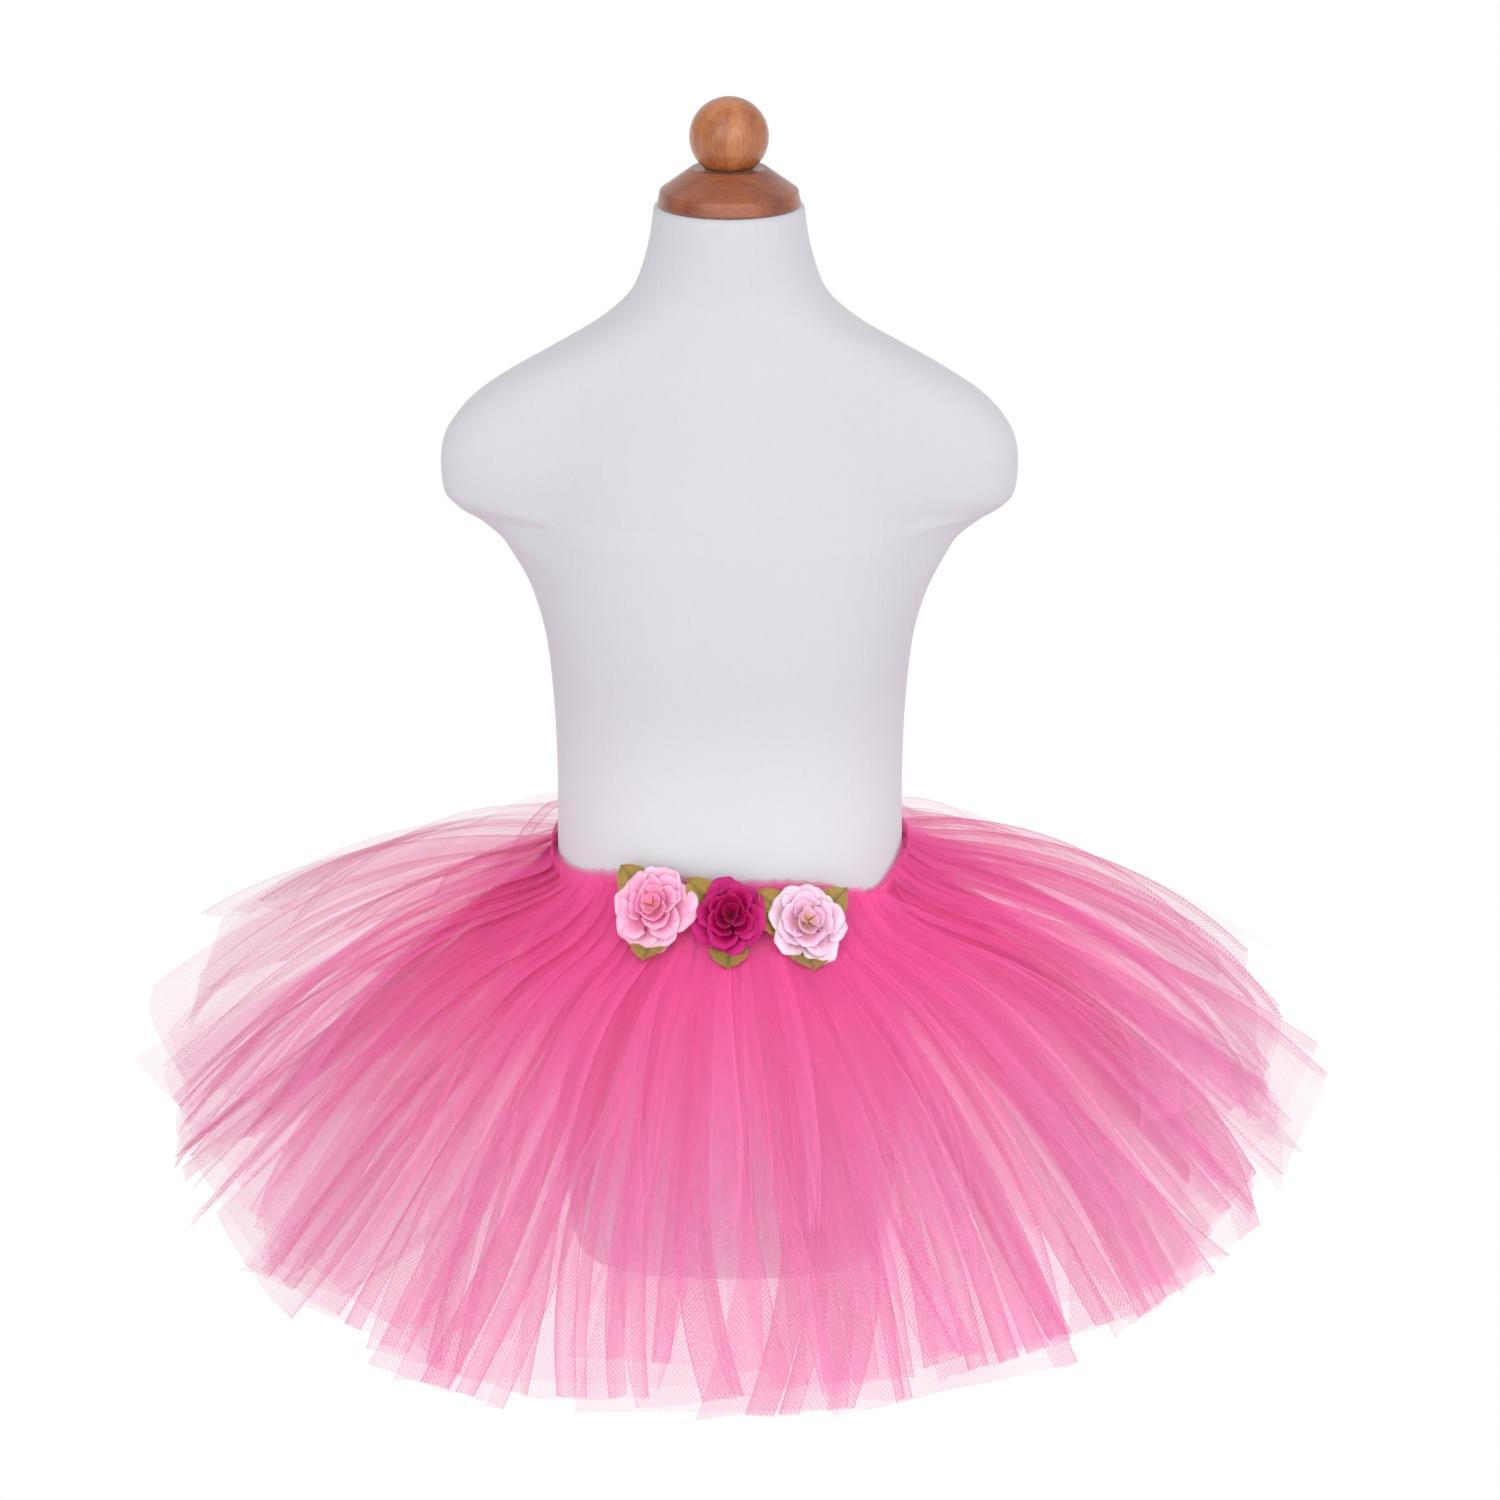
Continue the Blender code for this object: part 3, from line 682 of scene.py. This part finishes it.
def press(facing, distance):
    """How far the roses push a tail down, at a distance along it from the band."""
    sideways = math.exp(-((from_front(facing) / PRESS_SPREAD) ** 4))
    along = distance / PRESS_PEAK
    return PRESS_DEPTH * sideways * along * math.exp(1 - along)


def tail_profile(tier, tail, distance):
    """(offset, height) of the middle of a tail on its tier's arc, at a distance along it."""
    start = math.radians(tier.start_droop + tail.droop_shift * distance / tail.length)
    bend = math.radians(tier.end_droop - tier.start_droop) / tier.length
    end = start + bend * distance
    out = (math.sin(end) - math.sin(start)) / bend
    down = (math.cos(start) - math.cos(end)) / bend
    return Vector((ROOT_OFFSET + out, tier.root_height - down - press(tail.facing, distance)))


def drifted_facing(tail, share):
    """Which way a tail faces at a share of its length."""
    return tail.facing + math.radians(tail.drift) * share ** DRIFT_CURVE


def tail_middle(tier, tail, distance):
    """The middle of a tail at a distance along it, over the top of the band to start with."""
    profile = tail_profile(tier, tail, distance)
    if distance < ROLL_OVER:
        close = math.exp(-((from_front(tail.facing) / ROSE_SPREAD) ** 4))
        rise = ROLL_RISE - SIDE_ROLL_DROP * (1 - close) - waist_dip(tail.facing)
        top = Vector((ROOT_OFFSET, tier.root_height + rise))
        over = top + OVER_LOOSE * (1 - close) + OVER_CLOSE * close
        joins = tail_profile(tier, tail, ROLL_OVER)
        before = joins * 2 - tail_profile(tier, tail, ROLL_OVER + ROLL_LEAD)
        t = distance / ROLL_OVER
        profile = (
            top * (1 - t) ** 3 + over * 3 * t * (1 - t) ** 2
            + before * 3 * t * t * (1 - t) + joins * t ** 3
        )
    share = distance / tail.length
    x, y = waist_point(drifted_facing(tail, share), tier.root_height, profile.x)
    return Vector((x, y, profile.y))


Column = namedtuple("Column", "ahead behind level to_fold bulge forward creased")


def pleat_columns(tail, chance):
    """The columns of points across a tail.

    Each holds its shares of the forward and of the backward runs of the pleats, near the
    knot and at the hem, how high it stands in its pleat, its share of the hem's width from
    the nearest fold or crease, its bulge, whether it is on a forward run and how much more
    or less the creased net covers there.
    """
    early = [chance.uniform(0.5, 1.5) for _ in range(tail.pleats)]
    late = [chance.uniform(0.5, 1.5) for _ in range(tail.pleats)]
    early = [width / sum(early) for width in early]
    late = [width / sum(late) for width in late]
    columns = []
    gone = [0.0, 0.0]
    for first, last in zip(early, late):
        bulge = chance.uniform(-1.0, 1.0)
        creases = [0.0, 1.0, chance.choice(CREASES)]
        for k in range(FORWARD_STEPS):
            t = k / FORWARD_STEPS
            columns.append(Column(
                (gone[0] + t * first, gone[1] + t * last), tuple(gone), t,
                min(abs(t - crease) for crease in creases) * last,
                math.sin(math.pi * t) * bulge * last, True, chance.uniform(*CREASED),
            ))
        done = (gone[0] + first, gone[1] + last)
        for k in range(BACK_STEPS):
            t = k / BACK_STEPS
            columns.append(Column(
                done, (gone[0] + t * first, gone[1] + t * last),
                1 - t, min(t, 1 - t) * last, 0.0, False, chance.uniform(*CREASED),
            ))
        gone = list(done)
    columns.append(Column((1.0, 1.0), (1.0, 1.0), 0.0, 0.0, 0.0, False, 1.0))
    return columns


Net = namedtuple("Net", "points faces flat cover from_fold lie")


def add_tail(tier, tail, chance, net):
    """Adds one tail's grid of points, with what each needs, to its tier's net."""
    columns = pleat_columns(tail, chance)
    first = len(net.points)
    sway = chance.uniform(1.0, 5.0), chance.uniform(0.3, 0.8), chance.uniform(0.0, WAVE)
    billow = chance.uniform(1.0, 4.0), chance.uniform(0.3, 0.8), chance.uniform(0.0, WAVE)
    jags = [chance.uniform(-1.2, 1.2) for _ in columns]
    in_front = math.exp(-((from_front(tail.facing) / FRONT_SPREAD) ** 4))
    thinning = HEM_THINNING + (tier.thinning - HEM_THINNING) * in_front
    layer = tail.cover * (
        tier.front * in_front + cover_away(tier, tail.facing) * (1 - in_front)
    )
    hem_forward = (STRIP_WIDTH + tail.spread) / 2
    hem_backward = (STRIP_WIDTH - tail.spread) / 2
    for i in range(TAIL_ROWS + 1):
        share = (i / TAIL_ROWS) ** ROW_GROWTH
        shown = STRIP_WIDTH * min(1.0, ROOT_GATHER + (1 - ROOT_GATHER) * share / OPENED_AT)
        spread = ROOT_SPREAD + (tail.spread - ROOT_SPREAD) * share ** SPREAD_CURVE
        forward, backward = (shown + spread) / 2, (shown - spread) / 2
        height = ROOT_PLEAT_HEIGHT + (tail.pleat_height - ROOT_PLEAT_HEIGHT) * share
        middle = tail_middle(tier, tail, share * tail.length)
        ahead = tail_middle(tier, tail, share * tail.length + SLOPE_STEP)
        down = (ahead - middle).normalized()
        facing = drifted_facing(tail, share)
        side = Vector((-math.sin(facing), math.cos(facing), 0.0))
        up = side.cross(down)
        if up.z < 0:
            up = -up
        splayed = up + Vector((math.cos(facing), math.sin(facing), 0.0)) * SPLAY
        turn = math.radians(tail.roll) * share ** ROLL_CURVE
        swayed = sway[0] * share * math.sin(sway[1] * WAVE * share + sway[2])
        swayed += tail.tip_bend * max(0.0, (share - TIP_FROM) / (1 - TIP_FROM)) ** 2
        lifted = billow[0] * share * math.sin(billow[1] * WAVE * share + billow[2])
        softened = ROOT_SOFTENED * max(0.0, 1 - share / ROOT_SOFTENED_TO)
        for j, column in enumerate(columns):
            run = column.ahead[0] + (column.ahead[1] - column.ahead[0]) * share
            back = column.behind[0] + (column.behind[1] - column.behind[0]) * share
            across = run * forward - back * backward - spread / 2
            lift = (column.level - 0.5) * height + column.bulge * PANEL_BULGE * share
            width = hem_forward if column.forward else hem_backward
            place = middle + side * (across * math.cos(turn) - lift * math.sin(turn) + swayed)
            place += up * (across * math.sin(turn) + lift * math.cos(turn) + lifted)
            cut = tail.slant * (run - 0.5) + jags[j]
            place += down * cut * share ** CUT_CURVE
            place.z = max(place.z, FLOOR_CLEARANCE)
            net.points.append(place)
            net.lie.append(splayed.normalized())
            net.flat.append((
                column.ahead[1] * hem_forward + column.behind[1] * hem_backward,
                share * tail.length + cut * share ** CUT_CURVE,
            ))
            creased = 1 + (column.creased - 1) * min(1.0, share / CREASED_FROM)
            net.cover.append(cover_of(
                (STRIP_WIDTH / shown) ** ROOT_LAYERS * layer * creased * (1 - thinning * share)
            ))
            cut_edge = CUT_EDGE * (j in (0, len(columns) - 1))
            net.from_fold.append(column.to_fold * width + (softened + cut_edge))
    net.faces.extend(grid_faces(first, TAIL_ROWS + 1, len(columns)))


def cover_away(tier, facing):
    """How much more or less a layer covers at the sides and towards the back."""
    away = abs(from_front(facing))
    behind = min(1.0, (away - BACK_FROM) / BACK_FADE_IN, (BACK_TO - away) / BACK_FADE_OUT)
    return tier.side + (tier.back - tier.side) * max(0.0, behind)


def scattered_tails(tier, chance):
    """The tails of a tier, spaced round the waist with the unevenness of knotting by hand."""
    placed = PLACED_TAILS.get(tier.node, {})
    for index, facing in enumerate(even_facings(TAILS_PER_TIER)):
        wide = chance.random() < tier.open_share
        lower = tier.right_droop * max(0.0, math.cos(facing))
        longer = tier.front_longer * math.exp(-((from_front(facing) / LONGER_SPREAD) ** 4))
        tail = Tail(
            facing=facing + math.radians(chance.uniform(-2.0, 2.0)),
            droop_shift=chance.uniform(*tier.droop_shifts) + lower,
            drift=chance.uniform(-3.5, 3.5),
            length=tier.length + chance.uniform(-17.0, 4.0) + longer,
            spread=chance.uniform(112, 145) if wide else chance.uniform(50, 90),
            pleats=chance.choice((1, 2, 2)) if wide else chance.choice((3, 3, 4)),
            pleat_height=chance.uniform(1.0, 4.0),
            roll=chance.uniform(-15.0, 15.0),
            slant=chance.uniform(-10.0, 10.0),
            tip_bend=chance.choice((0.0, 0.0, 0.0, 0.0, -16.0, 16.0)),
            cover=chance.uniform(0.85, 1.15),
        )
        yield tail._replace(**placed.get(index, {}))


# the tails that stand out, by tier and by their place round the waist: 0 is the right side,
# 9 the back, 18 the left side and 27 the front
OPEN_SHEET = {"spread": 146.0, "pleats": 1, "length": 241.0, "cover": 1.25}
CROSSING = {"spread": 70.0, "pleats": 3, "droop_shift": -4.0, "cover": 1.1}
PLACED_TAILS = {
    "tulle_tier_1": {
        16: {**OPEN_SHEET, "droop_shift": 3.0, "length": 249.0, "roll": -16.0, "slant": 16.0},
        18: {**OPEN_SHEET, "droop_shift": 4.0, "roll": -10.0, "slant": -18.0},
        20: {**CROSSING, "drift": 20.0},
        0: {**OPEN_SHEET, "droop_shift": 10.0, "roll": 10.0, "slant": 18.0},
        2: {**OPEN_SHEET, "droop_shift": 10.0, "length": 252.0, "roll": 17.0, "slant": -14.0},
        34: {**CROSSING, "drift": -20.0},
        7: {**OPEN_SHEET, "droop_shift": 7.0, "roll": 12.0, "slant": -12.0},
        11: {**CROSSING, "drift": -18.0},
        13: {**OPEN_SHEET, "droop_shift": 1.0, "roll": -12.0, "slant": 10.0},
    },
    "tulle_tier_3": {
        4: {"tip_bend": 38.0, "roll": 20.0},
        12: {"tip_bend": -40.0, "roll": -22.0},
        21: {"tip_bend": 44.0, "roll": -24.0, "spread": 120.0, "pleats": 1},
        33: {"tip_bend": -44.0, "roll": 24.0, "spread": 120.0, "pleats": 1},
    },
    "tulle_tier_4": {
        22: {"tip_bend": -34.0, "roll": 20.0, "spread": 130.0, "pleats": 1, "length": 250.0},
        32: {"tip_bend": 34.0, "roll": -20.0, "spread": 130.0, "pleats": 1, "length": 250.0},
    },
}


def add_tier(number, tier, finish):
    """All the tails of a tier as one piece."""
    chance = random.Random(number * 17)
    net = Net([], [], [], [], [], [])
    for tail in scattered_tails(tier, chance):
        add_tail(tier, tail, chance, net)
    piece = add_piece(
        f"tulle_tails_{number}", net.points, net.faces, finish, "tulle", [tier.node],
        values={"cover": net.cover, "from_fold": net.from_fold}, flat=net.flat, lie=net.lie,
    )


# ---------- roses and leaves
Rose = namedtuple("Rose", "node x height standoff radius turned tilt lobes_at")
ROSES = [
    Rose("rose_left", -39.0, 220.5, 17.0, 20.6, -14.0, 38.0, 10.0),
    Rose("rose_middle", 0.5, 217.5, 17.8, 19.2, 0.0, 38.0, 40.0),
    Rose("rose_right", 40.0, 213.0, 21.0, 20.4, 13.0, 44.0, 70.0),
]
ROSE_TALL = 1.13  # its petals open more upwards and downwards than sideways
# rows of petals from the outside in: how far they reach and where they start, as shares of
# the rose's radius, the height of their foot and lip, and how they cup and curl back
PetalRow = namedtuple(
    "PetalRow", "count reach start foot lip half_angle cup curl ruffle turned"
)
PETAL_ROWS = [
    PetalRow(5, 1.00, 0.10, 0.6, 4.2, 47.0, 1.6, 2.0, 1.0, 0.0),
    PetalRow(4, 0.84, 0.10, 2.4, 7.6, 44.0, 2.8, 2.6, 1.1, 36.0),
    PetalRow(4, 0.62, 0.08, 4.2, 10.8, 50.0, 3.4, 1.6, 1.1, 14.0),
    PetalRow(3, 0.42, 0.05, 5.8, 12.6, 62.0, 3.0, 0.8, 0.9, 50.0),
    PetalRow(3, 0.25, 0.02, 7.4, 13.4, 66.0, 1.8, 0.4, 0.6, 5.0),
]
Petal = namedtuple("Petal", "middle reach half_angle lip lean ripple")
PETAL_LENGTH_STEPS = 14
PETAL_WIDTH_STEPS = 18
PETAL_NARROWING = 0.74  # how far the sides of its lip fall back
LIP_CURVE = 1.7  # powers of the way out that a petal's rise and its cup follow
CUP_CURVE = 1.5
CURL_FROM = 0.72  # share of a petal's length where its lip starts to curl back
SILK_THICKNESS = 0.25  # and the satin's, both with their stiffening

Leaf = namedtuple("Leaf", "node rose bearing tip_reach width")
LEAVES = [
    Leaf("leaf_1", "rose_left", 134.0, 30.5, 17.0),
    Leaf("leaf_2", "rose_left", 272.0, 32.5, 18.0),
    Leaf("leaf_3", "rose_middle", 138.0, 31.0, 17.0),
    Leaf("leaf_4", "rose_middle", 268.0, 31.5, 18.0),
    Leaf("leaf_5", "rose_right", 140.0, 31.5, 16.0),
    Leaf("leaf_6", "rose_right", 168.0, 28.0, 14.0),
    Leaf("leaf_7", "rose_right", 36.0, 30.5, 16.0),
    Leaf("leaf_8", "rose_right", 266.0, 31.0, 18.0),
]
LEAF_BASE_REACH = 11.0
LEAF_BACK = -2.4  # how far out the leaf lies where the flower's back begins
LEAF_BACK_SHARE = 0.55
LEAF_RISE = 3.7 / 0.42  # it rises with the flower's back, for each radius further on
LEAF_RIB_DROP = 0.9
LOW_LEAF_LIFT = 6.0  # those below the flowers lie over the tails
LEAF_LENGTH_STEPS = 18
LEAF_WIDTH_STEPS = 8
LEAF_TEETH = 6
TOOTH_DEPTH = 0.16  # as a share of the leaf's half width
VEIN_SLOPE = 0.9  # how far a side vein runs on to its tooth, in teeth
VEIN_HEIGHT = 0.3
WRINKLE = 0.55
MIDRIB = 0.05  # as a share of the leaf's half width


def rose_axes(rose):
    """Right, up and outward directions of a flower."""
    turned, tilt = math.radians(rose.turned), math.radians(rose.tilt)
    right = Vector((math.cos(turned), math.sin(turned), 0.0))
    level = Vector((math.sin(turned), -math.cos(turned), 0.0))
    out = level * math.cos(tilt) + Vector((0.0, 0.0, math.sin(tilt)))
    return right, out.cross(right), out


def rose_centre(rose):
    """The middle of the flower's back, in front of the band's plain wall."""
    oval = oval_at(rose.height)
    half_depth = (oval.front + oval.back) / 2
    share = 1 - abs(rose.x / oval.half_width) ** oval.squareness
    front = half_depth * share ** (1 / oval.squareness) - (oval.back - oval.front) / 2
    return Vector((rose.x, -front - BAND_THICKNESS - rose.standoff, rose.height))


def thicken(piece):
    """Gives a sheet of petals or a leaf its thickness, to both sides."""
    thick = piece.modifiers.new("thickness", "SOLIDIFY")
    thick.thickness = SILK_THICKNESS * MM
    thick.offset = 0.0


def petal_point(rose, row, petal, s, t):
    """(angle, radius, height) on a petal: s runs from its foot to its lip, t from -1 to 1
    across it.
    """
    # a rounded outline, wavy at its lip
    angle = petal.middle + petal.half_angle * t * (0.5 + 0.5 * s)
    start = row.start * rose.radius
    rounded = math.sqrt(1 - (PETAL_NARROWING * t) ** 2 * s)
    radius = start + (petal.reach - start) * s * rounded
    radius += petal.reach * s * s * (
        0.045 * math.sin(4 * t + petal.ripple) + 0.02 * math.sin(13 * t + 3 * petal.ripple)
    )
    # it rises to its lip and cups at its sides, ruffles, and curls back at the lip
    height = row.foot + (petal.lip - row.foot) * s ** LIP_CURVE
    height += row.cup * t * t * s ** CUP_CURVE + petal.lean * t * s
    height += row.ruffle * s * s * (
        math.sin(4.5 * t + petal.ripple) + 0.4 * math.sin(11 * t + 2 * petal.ripple)
    )
    height -= row.curl * max(0.0, (s - CURL_FROM) / (1 - CURL_FROM)) ** 2
    return math.radians(angle), radius, height


def add_rose(rose, finish, slot):
    """Rows of cupped petals, each lapped over the next, round a closed heart."""
    chance = random.Random(rose.node)
    right, up, out = rose_axes(rose)
    centre = rose_centre(rose)
    points, faces, outward = [], [], []
    for row in PETAL_ROWS:
        for number in range(row.count):
            petal = Petal(
                middle=rose.lobes_at + row.turned + 360.0 * number / row.count
                + chance.uniform(-13.0, 13.0),
                reach=row.reach * rose.radius * chance.uniform(0.95, 1.14),
                half_angle=row.half_angle * chance.uniform(0.9, 1.15),
                lip=row.lip + chance.uniform(-1.6, 1.4),
                lean=chance.uniform(-2.2, 2.2),
                ripple=chance.uniform(0.0, 2 * math.pi),
            )
            first = len(points)
            for i in range(PETAL_LENGTH_STEPS + 1):
                s = i / PETAL_LENGTH_STEPS
                for j in range(PETAL_WIDTH_STEPS + 1):
                    t = 2 * j / PETAL_WIDTH_STEPS - 1
                    angle, radius, height = petal_point(rose, row, petal, s, t)
                    points.append(
                        centre + right * radius * math.cos(angle)
                        + up * radius * ROSE_TALL * math.sin(angle) + out * height
                    )
                    outward.append(0.35 * row.reach + 0.65 * s)
            faces.extend(grid_faces(first, PETAL_LENGTH_STEPS + 1, PETAL_WIDTH_STEPS + 1))
    piece = add_piece(
        f"silk_{rose.node}", points, faces, finish, slot, [rose.node],
        values={"outward": outward},
    )
    thicken(piece)


def add_leaf(leaf, rose, finish):
    """A pointed leaf with a toothed edge, folded a little along its midrib."""
    right, up, out = rose_axes(rose)
    centre = rose_centre(rose)
    bearing = math.radians(leaf.bearing)
    ahead = right * math.cos(bearing) + up * math.sin(bearing)
    aside = out.cross(ahead)
    points, vein = [], []
    for i in range(LEAF_LENGTH_STEPS + 1):
        s = i / LEAF_LENGTH_STEPS
        reach = LEAF_BASE_REACH + (leaf.tip_reach - LEAF_BASE_REACH) * s
        # narrow at its foot, broadest before the middle, pointed, and toothed along its edge
        along = min(1.0, 0.12 + 0.88 * s) ** 0.85
        half = leaf.width / 2 * (math.sin(math.pi * along) ** 0.7 + 0.03)
        half *= 1.0 + TOOTH_DEPTH * (1 - (s * LEAF_TEETH) % 1.0)
        lift = LEAF_BACK + LEAF_RISE * (reach / rose.radius - LEAF_BACK_SHARE)
        lift += LOW_LEAF_LIFT * max(0.0, -math.sin(bearing)) * s ** 1.5
        for j in range(LEAF_WIDTH_STEPS + 1):
            t = 2 * j / LEAF_WIDTH_STEPS - 1
            # a side vein runs out to each tooth, and the leaf is folded and a little wrinkled
            side_vein = abs((s * LEAF_TEETH - VEIN_SLOPE * abs(t)) % 1.0 - 0.5) * 2
            ribbed = LEAF_RIB_DROP * (1 - abs(t)) + VEIN_HEIGHT * side_vein ** 4
            ribbed += WRINKLE * math.sin(7 * s + 2.6 * t + leaf.bearing) * (0.3 + abs(t))
            points.append(
                centre + ahead * (reach - 1.5 * abs(t) * s) + aside * half * t
                + out * (lift - ribbed)
            )
            midrib = 1.0 if abs(t) < MIDRIB else 0.0
            vein.append(max(0.55 * side_vein ** 6, midrib) * (1 - 0.3 * s))
    faces = list(grid_faces(0, LEAF_LENGTH_STEPS + 1, LEAF_WIDTH_STEPS + 1))
    piece = add_piece(
        f"satin_{leaf.node}", points, faces, finish, "leaf_satin", [leaf.node],
        values={"vein": vein},
    )
    thicken(piece)


# ---------- studio
# The studio's light comes from all round, and more of it from these soft boxes: the
# direction towards each, its half angle and its brightness.
SoftBox = namedtuple("SoftBox", "towards half_angle brightness")
SOFT_BOXES = [
    SoftBox((0.0, -0.35, 1.0), 65.0, 0.25),  # overhead
    SoftBox((0.0, 1.0, 0.5), 60.0, 0.5),  # back
    SoftBox((0.0, -1.0, 0.35), 65.0, 1.18),  # front
    SoftBox((0.05, -1.0, 0.0), 50.0, 0.55),  # low front
    SoftBox((0.9, -0.35, 0.15), 50.0, 0.5),  # right
    SoftBox((-0.42, -0.80, 0.46), 14.0, 2.0),  # front left
    SoftBox((0.30, -0.86, 0.42), 11.0, 1.5),  # front right
]
WORLD_LIGHT = 0.56
LAYERS_SEEN = 24  # the eye sees through this many layers of net
FLOOR_GLOW = 1.0
FLOOR_REACH = 80.0  # metres, so that its edge lies near the horizon
EYE = (0.0108, -2.547, 1.127)
EYE_DOWN = 18.4  # degrees that the camera looks down
LENS = 120.0


def add_floor():
    """A pale floor, like the light table of a product studio."""
    made, tree = start_material("pale floor")
    finish_material(
        tree,
        {"Base Color": "#000000", "Roughness": 1.0, "Specular IOR Level": 0.0,
         "Emission Color": "#FFFFFF", "Emission Strength": FLOOR_GLOW}, {},
    )
    mesh = bpy.data.meshes.new("floor")
    corners = [(-1, -1), (1, -1), (1, 1), (-1, 1)]
    points = [(x * FLOOR_REACH, y * FLOOR_REACH, 0) for x, y in corners]
    mesh.from_pydata(points, [], [(0, 1, 2, 3)])
    mesh.materials.append(made)
    floor = bpy.data.objects.new("floor", mesh)
    bpy.context.scene.collection.objects.link(floor)


def add_light():
    """Even white light from all round, with the soft boxes as brighter rounds in it."""
    scene = bpy.context.scene
    scene.world = bpy.data.worlds.new("studio")
    scene.world.use_nodes = True
    tree = scene.world.node_tree
    tree.nodes.clear()
    place = add(tree, "TexCoord", {})
    total = None
    for box in SOFT_BOXES:
        facing = add(
            tree, "VectorMath",
            {"operation": "DOT_PRODUCT", 1: Vector(box.towards).normalized()},
            {0: (place, "Generated")},
        )
        shine = add(
            tree, "MapRange",
            {"interpolation_type": "SMOOTHSTEP", "To Max": box.brightness,
             "From Min": math.cos(math.radians(box.half_angle)),
             "From Max": math.cos(math.radians(box.half_angle / 2))},
            {"Value": (facing, "Value")},
        )
        links = {0: (shine, 0)}
        if total:
            links[1] = (total, 0)
        total = add(tree, "Math", {"operation": "ADD", 1: WORLD_LIGHT}, links)
    background = add(tree, "Background", {}, {"Strength": (total, 0)})
    add(tree, "OutputWorld", {}, {"Surface": (background, 0)})
    scene.view_settings.view_transform = "Standard"
    scene.cycles.transparent_max_bounces = LAYERS_SEEN
    # light this even needs no sampling of its own, and long thin tails are found faster
    # in a tree that splits them
    scene.world.cycles.sampling_method = "NONE"
    scene.cycles.debug_use_spatial_splits = True


def add_camera():
    """Looks a little down at the front, from the height of a standing person."""
    camera = bpy.data.cameras.new("camera")
    camera.sensor_width = 36.0
    camera.lens = LENS
    eye = bpy.data.objects.new("camera", camera)
    eye.location = EYE
    eye.rotation_euler = (math.radians(90.0 - EYE_DOWN), 0.0, 0.0)
    bpy.context.scene.collection.objects.link(eye)
    bpy.context.scene.camera = eye


# ---------- assembly
add_camera()
add_floor()
add_light()
add_form(brushed_jersey())
add_neck_cap(
    varnished_maple("varnished maple, across the grain", (0.25, 1.0, 1.0), "#702E12", "#9A5224")
)
add_finial_ball(
    varnished_maple("varnished maple, along the grain", (1.0, 1.0, 0.12), "#8E4720", "#BC7640")
)
tulle = nylon_tulle()
add_waistband(tulle)
for number, tier in enumerate(TIERS, start=1):
    add_tier(number, tier, tulle)
# each rose's slot, its silk's name, and its colours at the heart, the body and the rim
SILKS = {
    "rose_left": ("silk_light_pink", "light pink silk", "#E09088", "#F094C0", "#FAD0E4"),
    "rose_middle": ("silk_magenta", "magenta silk", "#70002A", "#A8004E", "#D02C86"),
    "rose_right": ("silk_blush", "blush silk", "#CCA45C", "#EEBAD8", "#F6E6F0"),
}
satin = leaf_satin()
roses = {rose.node: rose for rose in ROSES}
for rose in ROSES:
    slot, name, heart, body, rim = SILKS[rose.node]
    add_rose(rose, polyester_silk(name, heart, body, rim), slot)
for leaf in LEAVES:
    add_leaf(leaf, roses[leaf.rose], satin)
